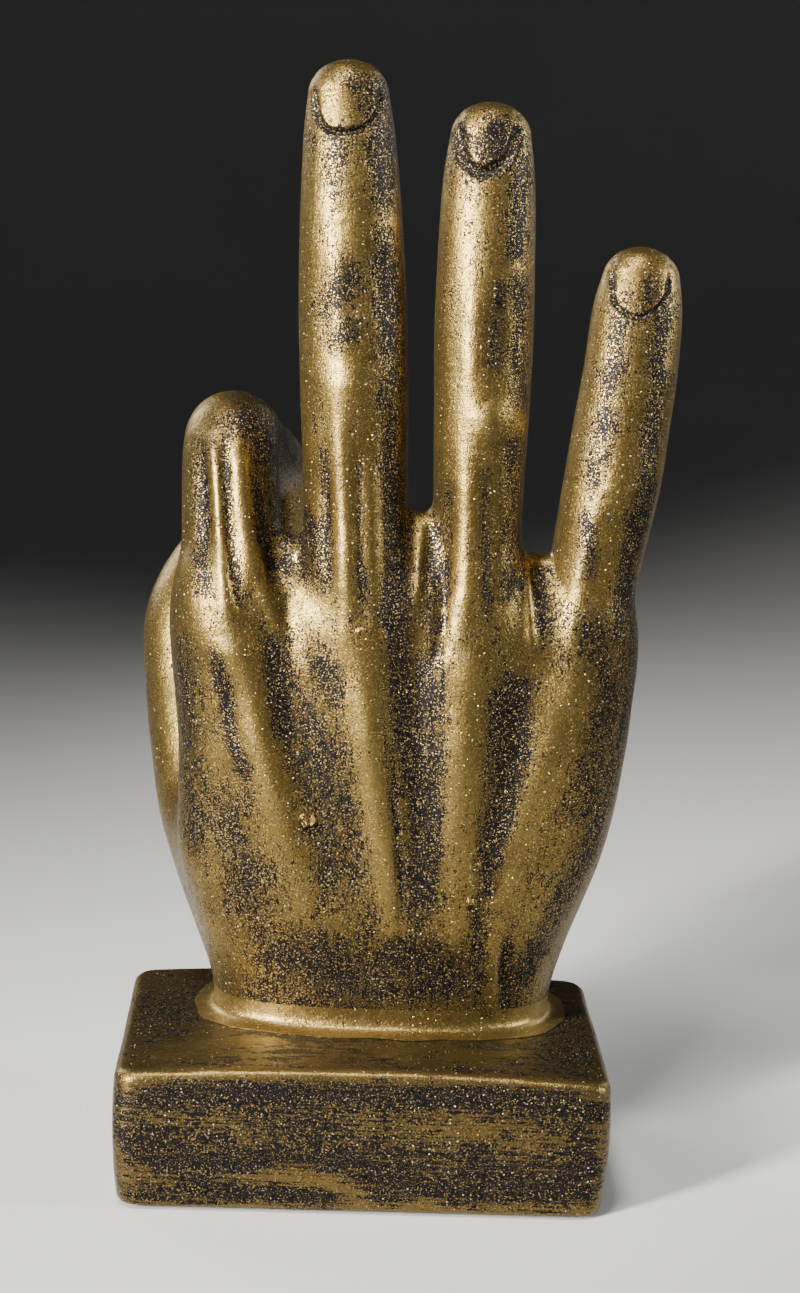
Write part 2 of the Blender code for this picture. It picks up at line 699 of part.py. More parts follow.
def make_plinth(limbs, material):
    plinth = make_object("plinth", plinth_mesh(), material)
    pocket = bmesh.new()
    heights = np.linspace(pocket_floor(), plinth_top(0.0) + FILLET_LIP, 4)
    loft(pocket, [skin_outline(limbs, height, SKIN_GAP) for height in heights])
    cut(plinth, make_object("pocket_cutter", mesh_from(pocket, "pocket_cutter")))
    recess = bmesh.new()
    loft(recess, felt_rings(SEAT_GAP, -1.0, recess_top()))
    cut(plinth, make_object("felt_recess_cutter", mesh_from(recess, "felt_recess_cutter")))
    name = "counterbore_cutter"
    wide = rod_mesh(name, COUNTERBORE_DIAMETER, -1.0, recess_top() + COUNTERBORE_DEPTH, rod_place(), segments=48)
    cut(plinth, make_object(name, wide))
    cut(plinth, bore("plinth_rod_bore", ROD_DIAMETER, -1.0, plinth_top(), rod_place()))
    for number, place in enumerate(pin_places(), 1):
        pin_bottom = pin_top() - PIN_LENGTH - BORE_PLAY
        cut(plinth, bore(f"plinth_pin_bore_{number}", PIN_DIAMETER, pin_bottom, plinth_top(), place))
    return plinth


def fillet_ring(limbs, rise, spread):
    """The wrist's outline pushed outwards, and set at its rise above the crowned plinth."""
    ring = skin_outline(limbs, plinth_top(WRIST_X) + rise, SKIN_GAP + spread)
    ring[:, 2] = [plinth_top(x) + SEAT_GAP + rise for x in ring[:, 0]]
    return ring


def make_wrist_fillet(limbs, material):
    """A bead of filler in the corner between the wrist and the plinth, hollow in section."""
    steps = 6
    profile = [(0.0, FILLET_LIP + FILLET_SPREAD)]
    for i in range(steps + 1):
        turn = math.pi / 2 * i / steps
        rise = FILLET_LIP / 2 + FILLET_HEIGHT * (1 - math.cos(turn))
        profile.append((rise, FILLET_LIP + FILLET_SPREAD * (1 - math.sin(turn))))
    top = profile[-1][0]
    profile += [(top, 0.0), (top / 2, 0.0), (0.0, 0.0)]
    bm = bmesh.new()
    rows = [[bm.verts.new(point) for point in fillet_ring(limbs, rise, spread)] for rise, spread in profile]
    for first, second in zip(rows, rows[1:] + rows[:1]):
        for i in range(len(first)):
            j = (i + 1) % len(first)
            bm.faces.new((first[i], first[j], second[j], second[i]))
    mesh = mesh_from(bm, "wrist_fillet")
    smooth_rounds(mesh)
    return make_object("wrist_fillet", mesh, material)


def make_fixings(steel):
    washer_top = recess_top() + COUNTERBORE_DEPTH - SEAT_GAP
    washer_bottom = washer_top - WASHER_THICKNESS
    nut_top = washer_bottom - SEAT_GAP
    nut_bottom = nut_top - NUT_HEIGHT
    hole = ROD_DIAMETER + 2 * BORE_PLAY
    washer = ring_mesh("anchor_washer", WASHER_DIAMETER, hole, washer_bottom, washer_top, rod_place(), 36)
    make_object("anchor_washer", washer, steel)
    nut = ring_mesh("anchor_nut", NUT_ACROSS_FLATS, hole, nut_bottom, nut_top, rod_place(), 6)
    make_object("anchor_nut", nut, steel)
    rod_bottom, rod_top = nut_bottom - ROD_PAST_NUT, wrist_bottom() + ROD_IN_HAND
    rod = rod_mesh("anchor_rod", ROD_DIAMETER, rod_bottom, rod_top, rod_place(), ROD_CHAMFER)
    make_object("anchor_rod", rod, steel)
    for side, place in zip(("thumb_side", "little_side"), pin_places()):
        name = f"dowel_pin_{side}"
        pin = rod_mesh(name, PIN_DIAMETER, pin_top() - PIN_LENGTH, pin_top(), place, PIN_CHAMFER, 20)
        make_object(name, pin, steel)


def make_felt(material):
    bm = bmesh.new()
    loft(bm, felt_rings(0.0, 0.0, FELT_THICKNESS))
    make_object("felt_base", mesh_from(bm, "felt_base"), material)


def main():
    clear_scene()
    gold = make_material("antique_gold_resin", (0.38, 0.23, 0.07), 0.42, 0.6)
    dark_gold = make_material("antique_gold_plinth", (0.30, 0.18, 0.06), 0.5, 0.5)
    filler = make_material("antique_gold_filler", (0.45, 0.29, 0.10), 0.38, 0.6)
    steel = make_material("zinc_plated_steel", (0.55, 0.56, 0.58), 0.35, 1.0)
    felt = make_material("black_felt", (0.02, 0.02, 0.022), 0.95, 0.0)
    limbs = hand_limbs()
    make_hand(limbs, gold)
    make_plinth(limbs, dark_gold)
    make_wrist_fillet(limbs, filler)
    make_fixings(steel)
    make_felt(felt)


main()
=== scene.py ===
"""Looks of the hand gesture statue: a grainy casting in antique gold, rubbed over black, on a pale stage.

The hand's skin is drawn again from the same bones and sections as the solids, far finer, and then carved:
tendons, folds, nails, creases and casting faults are strokes, laid on the skin in the frame of a bone or of
the back or palm of the hand. The same kind of strokes say where the black patina stays, and in a few places
they lay black as painted shade.
Sizes are in millimetres. X runs to the little finger, Y to the palm side and Z up from the underside.
"""

import math
from collections import namedtuple

import bmesh
import bpy
import numpy as np
from mathutils import Matrix, Vector, noise


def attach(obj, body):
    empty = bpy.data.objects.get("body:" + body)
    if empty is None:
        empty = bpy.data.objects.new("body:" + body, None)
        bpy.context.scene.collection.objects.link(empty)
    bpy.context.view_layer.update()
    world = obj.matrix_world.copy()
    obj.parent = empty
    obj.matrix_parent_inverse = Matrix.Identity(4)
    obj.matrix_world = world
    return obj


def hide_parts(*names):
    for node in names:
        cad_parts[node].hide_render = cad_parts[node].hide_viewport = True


MM = 0.001
NO_SHARE = 60.0

# Camera at the photograph's place: position in metres, turns in degrees, lens on a sensor 36 mm long
CAMERA_PLACE = (-0.01282, -0.54291, 0.20928)
CAMERA_PITCH = 10.779
CAMERA_YAW = 1.857
CAMERA_ROLL = 2.2146
CAMERA_LENS = 77.96
SENSOR = 36

# Soft boxes: place and target in metres, width, height, spread in degrees, watts, colour
LIGHTS = {
    "key": ((-0.6, -0.6, 0.4), (0, 0, 0.15), 0.12, 0.42, 38, 2.5, (1, 0.97, 0.93)),
    "top": ((-0.12, -0.34, 0.86), (0, 0.02, 0.05), 0.16, 0.16, 50, 0.6, (1, 0.98, 0.96)),
    "fill": ((0.78, -0.12, 0.46), (0, 0, 0.21), 0.2, 0.4, 30, 0.42, (0.94, 0.97, 1)),
    "rim": ((0.6, 0.5, 0.45), (0.02, 0, 0.12), 0.25, 0.6, 60, 0.2, (0.95, 0.98, 1)),
    "back_left": ((-0.7, 0.7, 0.6), (0, 0, 0.12), 0.4, 0.6, 60, 0.8, (1, 0.98, 0.95)),
}
WORLD_COLOUR = (0.86, 0.88, 0.92)
WORLD_STRENGTH = 0.04

# Round sweep that the statue stands on: radius and height of its profile in metres, steps and segments
SWEEP_PROFILE = ((0.5, 0), (1.1, 0), (1.5, 0.03), (1.8, 0.16), (2, 0.42), (2.1, 0.9), (2.12, 2))
SWEEP_STEPS = 6
SWEEP_SEGMENTS = 96

# Plinth, felt and wrist joint
FELT_PROUD = 0.5
PLINTH_WIDTH = 96
PLINTH_HEIGHT = 27.4
PLINTH_CROWN = 1.7
WRIST_X = 3.8
WRIST_Y = 8.5
POCKET_DEPTH = 7
SEAT_GAP = 0.3
FILLET_HEIGHT = 4.2
FILLET_SPREAD = 3.8
FILLET_LIP = 0.6

# Fingers: knuckle centre, end of the ray inside the palm, bone lengths, bends from upright towards
# the palm, leans towards the little finger, and the half breadths and half depths from knuckle to tip
Finger = namedtuple("Finger", "knuckle ray_end bones bends leans breadths depths")
FINGERS = {
    "index": Finger(
        knuckle=(-28.6, -0.6, 106),
        ray_end=(-14, 2.5, 56),
        bones=(39.6, 26, 25.5),
        bends=(13, 108, 146),
        leans=(-1.5, 13, 7),
        breadths=(10, 9.8, 9.4, 8.9, 8.7, 8.4, 7.7),
        depths=(10.6, 9.8, 9.1, 8.6, 8.3, 7.8, 6.8),
    ),
    "middle": Finger(
        knuckle=(-3.8, -1.6, 111),
        ray_end=(3, 2.5, 56),
        bones=(48, 31.2, 29.2),
        bends=(0.5, 3.5, 6),
        leans=(-2.8, -3, -3.2),
        breadths=(10.5, 10.2, 10.5, 10.4, 9.8, 8.9, 7.8),
        depths=(10.8, 10.2, 10, 9.3, 8.7, 7.7, 6.2),
    ),
    "ring": Finger(
        knuckle=(19, -1.2, 107),
        ray_end=(14, 2.5, 56),
        bones=(46.4, 30.1, 28.8),
        bends=(0.5, 3.5, 6),
        leans=(-0.2, -0.5, 0),
        breadths=(9.8, 8.7, 9.3, 9.6, 9.4, 8.9, 7.8),
        depths=(10.6, 9.6, 9.4, 8.9, 8.4, 7.5, 6),
    ),
    "little": Finger(
        knuckle=(39, 0.2, 101),
        ray_end=(24, 3.5, 54),
        bones=(39.4, 21.5, 24.6),
        bends=(1.5, 4.5, 7),
        leans=(9, 7, 4.5),
        breadths=(9.5, 8.9, 9.5, 9.4, 9.2, 8.8, 7.6),
        depths=(9.8, 9, 8.9, 8.3, 8, 7.2, 5.8),
    ),
}
# How much thinner than its knuckle a ray is at the wrist end, in half breadth and half depth
RAY_THINNER = (4, 3.5)
# Share of the last bone at which its middle section lies
LAST_BONE_SECTION = 0.45

# Thumb from the wrist to the tip, a section a row: centre, half breadth, half depth and the way its back
# faces
THUMB = (
    (-13, 15, 38, 12.5, 12.5, -0.6, -0.8, 0.2),
    (-21.5, 18.5, 50, 13, 13, -0.7, -0.6, 0.2),
    (-29.6, 22, 64, 12.2, 12.6, -0.85, -0.3, 0.1),
    (-34.2, 27, 79, 10.9, 11.2, -0.9, 0, -0.1),
    (-37.3, 33.4, 90.9, 10, 9.8, -0.85, 0.3, -0.3),
    (-37.7, 39.3, 102.4, 10.4, 9.8, -0.7, 0.45, -0.5),
    (-33.9, 44.4, 111.4, 10, 8.8, -0.55, 0.5, -0.65),
    (-29.7, 47.2, 117, 8.4, 7.2, -0.5, 0.5, -0.7),
)
# Fleshy heel of the hand under the little finger: same columns
HEEL = (
    (27.5, 15, 36, 9.5, 11, 0, -1, 0),
    (31.5, 15, 52, 11, 12, 0, -1, 0),
    (36, 11.5, 70, 11, 10.5, 0, -1, 0),
    (38, 7, 88, 9.5, 8.5, 0, -1, 0),
)

# Ball of the thumb, as one oval
BALL_CENTRE = (-17, 22, 58)
BALL_RADII = (13, 11, 20)
BALL_SUBDIVISIONS = 3

# Palm and wrist sections: height, thumb edge, little-finger edge, back and palm faces
PALM_SECTIONS = (
    (14, -29.2, 36.2, -9.6, 26.5),
    (28, -29.6, 36.4, -9.6, 26.5),
    (36, -30.5, 37, -9.8, 27),
    (44, -32.8, 39, -10.3, 27.2),
    (53, -35.6, 42.4, -11, 25.8),
    (62, -38, 45.6, -11.5, 22.8),
    (74, -38.4, 48.4, -12, 19.5),
    (86, -38.4, 50, -12.2, 16.5),
    (97, -38.6, 50.6, -11.6, 15),
    (106, -38.2, 50, -10.6, 13.6),
    (113, -36.8, 47.6, -9, 12.2),
    (118.5, -34, 43.5, -6.5, 9.6),
    (122.5, -29, 38, -3, 5.6),
)
PALM_SQUARENESS = 2.5
PALM_TOP_ROUND = 3

# Webs between the fingers, from the index on: the two ends of each fold, and half widths there
WEBS = (
    ((-18.2, 1, 124), (-17.2, 0.5, 112)),
    ((7.6, -1, 129.5), (7.4, -3, 114)),
    ((28.8, 0, 121), (28, -1.5, 108)),
)
WEB_RADII = (3.2, 5.5)

# How widely neighbouring shapes melt together, and the heights between which the thumb's blend narrows
BLEND_FINGER_PALM = 8
BLEND_FINGERS = 1.2
BLEND_WEB = 4
BLEND_FLESH = 9
BLEND_THUMB_ROOT = 9
BLEND_THUMB_TIP = 3
THUMB_ROOT_TOP = 78
THUMB_FREE_FROM = 100

# Mesh of the skin: voxel of the first blank, rounds and strength of its softening, sections between the
# given ones, points round a limb, and how its ends close. Then rounds in which the blank is drawn onto the
# skin, rounds of spreading in each and for the hollows, and the least slope of the distance to the skin
SKIN_VOXEL = 1.5
SOFTENING_ROUNDS = 6
SOFTENING = 0.5
SECTION_STEPS = 8
RING_POINTS = 28
CAP_RING = 0.5
CAP_REACH = 0.85
DRAWING_ROUNDS = 2
SPREADING_ROUNDS = 2
HOLLOW_ROUNDS = 24
LEAST_STEEPNESS = 0.3

# Places that get a four times finer mesh: frame, place across and along, radius
FINE_PLACES = (
    ("middle2", 0, 22, 12),
    ("ring2", 0, 22, 12),
    ("little2", 0, 17.5, 11),
    ("index2", 0, 18, 11),
    ("thumb2", 0, 9, 12),
    ("back", -12.2, 72.5, 3.5),
    ("back", 20.2, 56.4, 3.5),
    ("back", -3.1, 111.1, 3),
    ("back", -19.7, 105.3, 3),
)
# Rounds of splitting, of which the first reaches a millimetre further, and the least share in the frame
FINE_ROUNDS = 2
FINE_SHARE = 0.2

# Strokes that carve the skin: frame, height (below 0 a groove), half width, length of the faded ends, and
# each point's places across and along the frame
BACK_STROKES = (
    ("back", 1.3, 3.6, 24, -26.5, 110, -24.3, 99, -21.6, 87, -18.2, 75, -13, 56),
    ("back", -0.5, 3, 8, -31, 104, -28.5, 96, -26.5, 86),
    ("back", -0.6, 4.4, 10, -19.2, 105, -16, 92, -11, 78),
    ("back", 0.5, 2, 4, -15.3, 116, -14.4, 108, -13, 99),
    ("back", 1.5, 3.6, 22, -3.6, 110, -1.6, 96, 0.4, 82, 2.6, 68, 5.2, 48),
    ("back", -0.9, 0.8, 14, 3, 88, 4.2, 78, 5.4, 68, 6.4, 59, 7, 50),
    ("back", -0.7, 4.2, 10, 6, 110, 7.4, 96, 9.6, 82, 10.4, 66),
    ("back", 1.2, 4, 22, 18.4, 108, 18, 92, 18, 78, 17.7, 66, 17.9, 50),
    ("back", -0.8, 4.4, 10, 28, 102, 27.2, 90, 26, 76, 23.6, 64),
    ("back", 0.9, 3.6, 18, 39, 102, 37, 94, 32.2, 78.5, 27.6, 64, 25.8, 50),
    ("back", 0.6, 1.6, 10, 26.4, 56, 25.6, 45, 25.2, 33),
    ("back", -0.6, 1.2, 6, 26.8, 49, 27.8, 40, 28.8, 31),
    ("back", 0.7, 1, 4, 7.8, 132, 7.8, 125, 7.2, 115),
    ("back", 0.8, 1.1, 4, 28.3, 124, 29.1, 117, 30.2, 107),
    ("back", -0.6, 1.2, 4, 12.2, 122, 12.4, 112, 11, 104),
    ("back", 0.3, 5, 0, -3.8, 109),
    ("back", 0.3, 5, 0, 19.2, 105),
    ("back", 0.6, 4.5, 0, 39.5, 99.5),
    ("back", 0.8, 5, 0, -27.6, 106),
    ("back", -0.5, 5, 0, 0, 43),
    ("back", -0.5, 4.5, 0, 17, 41),
)
FINGER_STROKES = (
    ("index0", 1, 1.6, 8, -3.6, 42, -2.9, 34, -1.9, 22, -1.2, 12, 0, 3),
    ("index0", -0.7, 1, 8, -1.2, 40, -0.7, 28, 0.3, 15, 2, 6),
    ("index0", 1.7, 2.6, 10, 1, 42, 1.9, 31, 3.4, 19, 6.8, 8, 11.5, 1),
    ("index0", -0.5, 1.9, 6, -5, 36, -5, 15),
    ("middle0", 0.75, 2.1, 12, -3.2, 46, -2.8, 33, -2.3, 18, -2.1, 6, -2.2, -3),
    ("middle0", -0.35, 1.2, 8, -0.2, 36, 0.4, 20, 0.7, 4),
    ("middle0", 0.45, 1.9, 8, 2.2, 34, 2.9, 18, 3.2, 5, 3.6, -6),
    ("middle0", -0.5, 1.5, 6, -5.8, 31, -5.8, 8),
    ("middle0", -0.5, 1.4, 6, 6.1, 44, 6.6, 24, 6.8, 4),
    ("middle0", 0.8, 4.2, 0, -1, 47),
    ("ring0", 0.65, 2.2, 12, -3.5, 43, -2.8, 26, -2.8, 10, -3.4, 0),
    ("ring0", -0.35, 1.4, 8, 0, 37, 1, 23, 2, 9),
    ("ring0", 0.35, 1.7, 8, 4.2, 36, 4.8, 22, 5, 10),
    ("ring0", -0.4, 1.4, 6, -6.2, 33, -6.2, 10),
    ("ring0", 0.9, 3.8, 0, 1.2, 45),
    ("ring0", -0.45, 0.45, 1, -1.4, 48, 0.2, 48.7, 1.6, 48.6),
    ("little0", 0.5, 2.2, 8, -3, 36, -3.4, 20, -2, 4),
    ("little0", 0.5, 3.2, 0, 0, 39),
    ("little0", -0.4, 1.6, 6, 4.6, 36, 5.2, 18),
    ("middle1", -0.3, 2.4, 5, 5.4, 26, 5.6, 8),
    ("middle1", 0.4, 2, 8, -2, 2, -3, 14, -3.2, 27),
    ("ring1", 0.4, 2, 8, -2.6, 2, -3, 14, -2.6, 26),
    ("ring1", -0.3, 1.6, 5, 1.8, 22, 1.6, 8),
)
# Fine wrinkles over the joints of the straight fingers: distance from the joint, and how they bow
WRINKLES = ((-2.6, -0.5), (0, 0), (2.8, 0.5))
WRINKLED_BONES = ("middle1", "ring1", "little1", "middle2", "ring2", "little2")
WRINKLE_DEPTH = 0.1
WRINKLE_HALF_WIDTH = 0.55
WRINKLE_REACH = 4.2
WRINKLE_FADE = 2.5

# Nails: the groove round each root, in the frame of the last bone
NAIL_ROOTS = {
    "middle2": ((-6.4, 20.6), (-6, 18), (-4.5, 15.6), (-1.3, 14.7), (2.5, 15.4), (5, 17.8), (5.9, 20.4)),
    "ring2": ((-6.2, 21.4), (-5.8, 18.8), (-4.7, 16.3), (-2.2, 14.8), (0.8, 15.6), (3.4, 18.4), (4.6, 22.6)),
    "little2": ((-6, 16.6), (-5.5, 13.3), (-4, 11.5), (-1.1, 10.4), (2.2, 11.8), (4.2, 14.2), (4.8, 17)),
    "index2": ((-5.6, 17.8), (-5.2, 14.8), (-3.8, 12.7), (0, 11.8), (3.8, 12.7), (5.2, 14.8), (5.6, 17.8)),
    "thumb2": ((-6.6, 9), (-6.2, 5.4), (-4.4, 3), (0, 2), (4.4, 3), (6.2, 5.4), (6.6, 9)),
}
# Their frame, depth and half width of the groove, and the nail's free end along the bone
NAILS = (
    ("middle2", 0.75, 0.5, 27.4),
    ("ring2", 0.95, 1, 27),
    ("little2", 0.5, 0.45, 22.8),
    ("index2", 0.6, 0.5, 23.6),
    ("thumb2", 0.6, 0.55, 16),
)
# Black paint in the groove, and its width against the groove's
NAIL_BLACK = 2
NAIL_BLACK_WIDTH = 1.35
# Sides of the groove: how far they run on, spread, stop short of the free end, and how faint they get
NAIL_SIDE = 3.5
NAIL_FLARE = 1.02
NAIL_SIDES_SHORT = 1
NAIL_FAINTEST = 0.08
# Plate: its rise, how softly it starts, and where it runs out and steps down past the free end
NAIL_RISE = 0.12
NAIL_SOFT = 1.2
NAIL_SOFT_SIDE = 0.8
NAIL_TIP_PAST = 1.5
NAIL_STEP = 0.15
NAIL_STEP_PAST = 1.4
NAIL_STEP_WIDTH = 0.7

# Casting faults on the back of the hand: same columns as the carving strokes
FAULTS = (
    ("back", 0.85, 0.55, 0.3, -13.6, 73.8, -12.6, 72.9, -11.9, 72.4, -10.4, 72.9),
    ("back", 0.8, 0.5, 0.3, -12.2, 72.6, -13.2, 71.3),
    ("back", 0.55, 0.45, 0.2, -11.6, 72.4, -11, 71.8),
    ("back", 0.9, 0.8, 0.2, 19.4, 57.2, 20.8, 57),
    ("back", -0.6, 0.55, 0.2, 19.8, 55.6, 20.8, 55.4),
    ("back", 0.4, 0.35, 0.2, -4, 110.8, -3.3, 111.5, -2.4, 111.2),
    ("back", 0.45, 0.35, 0.2, -20.4, 105, -19.2, 105.7),
)

# Palm side: creases across the fingers and over the palm, and the pads between them
PALM_STROKES = (
    ("palm", -1, 0.9, 8, 49, 90, 38, 86.5, 24, 87.5, 10, 93, -2, 103, -6, 108),
    ("palm", -0.9, 0.9, 8, -35, 92, -22, 90, -6, 84, 12, 75, 28, 66, 38, 62),
    ("palm", -1.1, 1, 8, -35, 90, -20, 86, -6, 76, 0, 64, 0, 52, -4, 41),
    ("palm", -0.4, 0.8, 8, 6, 96, 4, 80, 4, 62),
    ("palm", -0.9, 0.8, 6, -22, 36.6, -8, 35.2, 8, 34.8, 24, 35.6, 33, 37.4),
    ("palm", -0.6, 0.7, 6, -18, 40.4, -4, 39.2, 12, 39, 26, 40.4),
    ("palm", 1, 5, 0, -21, 103),
    ("palm", 1, 5, 0, 6.8, 103),
    ("palm", 1, 5, 0, 28.6, 100),
    ("palm", -1.2, 9, 0, 8, 80),
    ("palm", 0.7, 1.6, 5, 3, 42, 3.6, 33),
    ("palm", 0.6, 1.4, 5, 10, 42, 9.4, 33),
)
# Creases across the palm side of the fingers: frame, places along the bone, depth
FINGER_CREASES = (
    ("middle_front0", (21, 24), 0.9),
    ("middle_front1", (-1.4, 1.4), 0.8),
    ("middle_front2", (0,), 0.8),
    ("ring_front0", (20.5, 23.5), 0.9),
    ("ring_front1", (-1.4, 1.4), 0.8),
    ("ring_front2", (0,), 0.8),
    ("little_front0", (17, 19.6), 0.8),
    ("little_front1", (-1.2, 1.2), 0.7),
    ("little_front2", (0,), 0.7),
    ("index_front0", (17, 20), 0.8),
)
CREASE_HALF_WIDTH = 0.7
CREASE_REACH = 8.5
CREASE_BOW = 0.8
CREASE_FADE = 3
# Pads on the palm side of the fingers: frame, place along the bone, height, half width
FINGER_PADS = (
    ("middle_front0", 35.5, 0.8, 6.5),
    ("middle_front1", 15.5, 0.8, 6.5),
    ("middle_front2", 14.5, 0.9, 6.5),
    ("ring_front0", 34.5, 0.8, 6.2),
    ("ring_front1", 15, 0.8, 6.2),
    ("ring_front2", 14, 0.9, 6.2),
    ("little_front0", 29.5, 0.7, 5.5),
    ("little_front1", 10.7, 0.6, 5.2),
    ("little_front2", 12, 0.8, 5.8),
)

# Black patina that the rubbing left, and a few strokes of black as painted shade, marked below: frame, share
# of black, half width, and the points' places as above
PATINA_AND_PAINTED_SHADE = (
    ("back", 0.45, 13, -10, 88, 2, 66, 6, 44),
    ("back", 0.5, 12, 22, 92, 20, 66, 14, 44),
    ("back", 0.8, 4, 49, 120, 51, 98, 47, 76, 40, 56, 32, 40),
    ("back", 0.6, 8, -18, 44, 6, 41, 24, 42),
    ("back", 0.85, 5, -8, 46, -4, 40),
    ("back", 0.95, 6, 7, 46, 16, 40),
    ("back", 0.85, 2, -31.5, 105, -29, 97, -27.5, 88, -25, 82),
    ("back", 0.9, 3, -19.8, 106, -19.4, 98, -18, 91),
    ("back", 0.6, 6, -13, 93, -9, 80, -8, 64),
    ("back", 0.55, 4, -9, 103, -8, 98),
    ("back", 0.9, 2.6, 4.2, 120, 5, 98, 8.6, 86, 10, 68),
    ("back", 0.75, 4.6, 10.5, 104, 11.5, 88, 11.5, 70, 10, 54),
    ("back", 0.95, 3.8, 27, 100, 27.4, 88, 26, 76, 23.4, 60),
    ("back", 0.8, 1.8, 23, 66, 21, 52),
    ("back", 0.65, 4, 42.5, 111, 46, 98, 43.5, 86, 45, 74),
    ("back", 0.55, 4, -37, 104, -36.5, 84, -34, 66),
    ("back", 0.55, 6, -28, 74, -25, 60, -22, 48),
    ("back", 0.7, 2, 28, 48, 29, 33),
    ("back", 0.8, 2.6, 20.4, 54.4),
    ("back", 0.6, 1.2, 5, 74, 6.6, 58),
    ("back", 0.75, 3, -13.5, 130, -13, 122),
    ("back", 0.7, 2, 11, 130, 10, 112),
    ("back", 0.65, 2.2, 31, 124, 32, 112),
    ("index0", 0.75, 2, -5.8, 38, -5.6, 24, -5.4, 10),
    ("index0", 0.55, 0.9, -0.8, 36, -0.2, 20),
    ("index0", 0.75, 2, 4, 34, 5.2, 22, 7.6, 11),
    ("index0", 0.6, 1.6, -3.6, 38, -3, 34),
    ("index0", 0.9, 2.4, 9.6, 40, 11.4, 20, 13, 10),
    ("index0", 0.5, 4, -2, 42, 5, 44),
    # Painted shade: black on the index's middle bone, which turns away behind the finger into shadow
    ("index1", 0.6, 5, 3, -3, 6, 12),
    ("index_side1", 1.2, 9, 0, -3, 0, 14),
    ("index_front0", 0.6, 5, -8, 38, -9, 14),
    ("thumb2", 0.6, 5, -8, -30, -8, -4),
    ("middle0", 0.7, 1.5, -5.8, 34, -5.9, 8),
    ("middle0", 0.5, 1.1, 0.4, 34, 0.8, 6),
    ("middle0", 0.9, 3, 6.8, 46, 7.2, 24, 7.2, 2),
    ("middle1", 0.8, 2.6, -2.6, 7.6, -0.6, 9),
    ("middle1", 0.7, 3.4, -4, 14, -1, 19),
    ("middle1", 0.85, 3.2, 6.8, -2, 6.8, 12, 6.2, 26),
    ("middle2", 0.9, 3, 6.2, 1, 6.6, 14, 6.2, 23),
    ("middle2", 0.6, 2.4, 1.4, 24, 3.4, 19),
    ("ring0", 0.6, 1.5, -6, 31, -6, 10),
    ("ring0", 0.6, 1.4, 0.6, 35, 2.2, 9),
    ("ring0", 0.8, 2.8, 6.2, 40, 6.4, 12),
    ("ring1", 0.75, 2, 1.6, 9, 2.2, 23),
    ("ring1", 0.8, 2.4, 6.6, 2, 6.4, 25),
    ("ring2", 0.8, 3, -0.6, 19, 0.8, 23),
    ("ring2", 0.75, 2.6, 5.4, 0, 5.8, 16),
    ("little0", 0.95, 2.4, -3.4, 31, -1.6, 22),
    ("little0", 0.85, 2.6, 5.8, 40, 6.4, 10),
    ("little1", 0.75, 2.2, 5.2, 0, 5.2, 22),
    ("little2", 0.7, 2.2, 4.6, 0, 4.6, 14),
    ("little2", 0.55, 2.4, 0.6, 17, 1, 14),
    # A broad band that darkens the foot of the wrist
    ("back", 0.5, 11, -20, 36, 4, 33, 28, 36),
    # Painted shade: the index knuckle, where the key light falls, is dimmed with black
    ("back", 0.35, 5, -29, 118, -24, 108),
    ("little1", 0.75, 2.8, -4.4, 0, -4.2, 22),
    ("little2", 0.7, 2.4, -4, 0, -3.8, 13),
    ("middle2", 0.45, 2.4, -3, 4, -2.6, 14),
    ("palm", 0.8, 6, -4, 84, 4, 70, 8, 54),
    ("palm", 0.75, 4, 11, 106, 14, 94),
    ("palm", 0.75, 3.5, -8, 106, -5, 94),
    ("palm", 0.8, 3.5, 34, 98, 38, 84, 36, 66),
    ("palm", 0.6, 8, -18, 40, 6, 37, 26, 41),
    ("palm", 0.75, 4, -12, 76, -9, 62, -11, 48),
    ("palm", 0.6, 5, -34, 80, -31, 64, -24, 50),
    ("palm", 0.65, 4, 20, 66, 24, 52),
    ("middle_front0", 0.85, 2.8, 5.8, 42, 6.2, 8),
    ("middle_front1", 0.75, 3, -4, 21, -2, 8),
    ("middle_front2", 0.7, 2.6, 4.6, 20, 5, 4),
    ("ring_front0", 0.8, 2.8, -5.6, 36, -6.2, 8),
    ("ring_front1", 0.75, 3, 3.6, 21, 2, 6),
    ("ring_front2", 0.7, 2.6, -4, 18, -4.8, 3),
    ("little_front0", 0.8, 2.6, 4.6, 32, 5.4, 8),
    ("little_front1", 0.75, 2.6, -3, 17, -2, 4),
    ("little_front2", 0.65, 2.4, 2.6, 14, 3.6, 3),
    ("index_front1", 0.75, 4, 0, 4, 2, 18),
    ("index_front2", 0.6, 3, -3, 4, -2, 12),
)
# Gold rubbed clean along the crests: same columns
RUBBED = (
    ("back", 0.7, 2.6, -27, 112, -23.6, 96, -18.2, 76, -14, 62),
    ("back", 0.75, 2.4, -4.6, 108, -1.6, 88, 2, 68, 5, 52),
    ("back", 0.75, 3.2, 18.2, 108, 18, 80, 17.8, 52),
    ("back", 0.55, 2.8, 38, 99, 33, 80, 26.6, 58),
    ("back", 0.45, 1.6, 25.6, 52, 25.2, 34),
    ("back", 0.15, 5, -30, 44, -14, 34),
    ("back", 0.4, 4, 6, 32, 20, 32),
    ("back", 1.2, 0.7, -13.6, 73.8, -12.4, 72.7, -10.4, 72.9),
    ("back", 1.2, 0.8, 19.2, 57.2, 21, 57),
    ("index0", 0.7, 1.4, -2.6, 32, -1.9, 22, -1, 10, 0, 3),
    ("index0", 0.5, 1.6, 1.4, 38, 2.6, 20, 8, 5, 11.5, 1),
    ("middle0", 0.7, 1.8, -3, 44, -2.3, 16, -2.2, -2),
    ("ring0", 0.65, 2.2, -3.4, 42, -2.8, 14, -3.4, 1),
    ("little0", 0.5, 2.2, -1, 38, 1, 20),
)
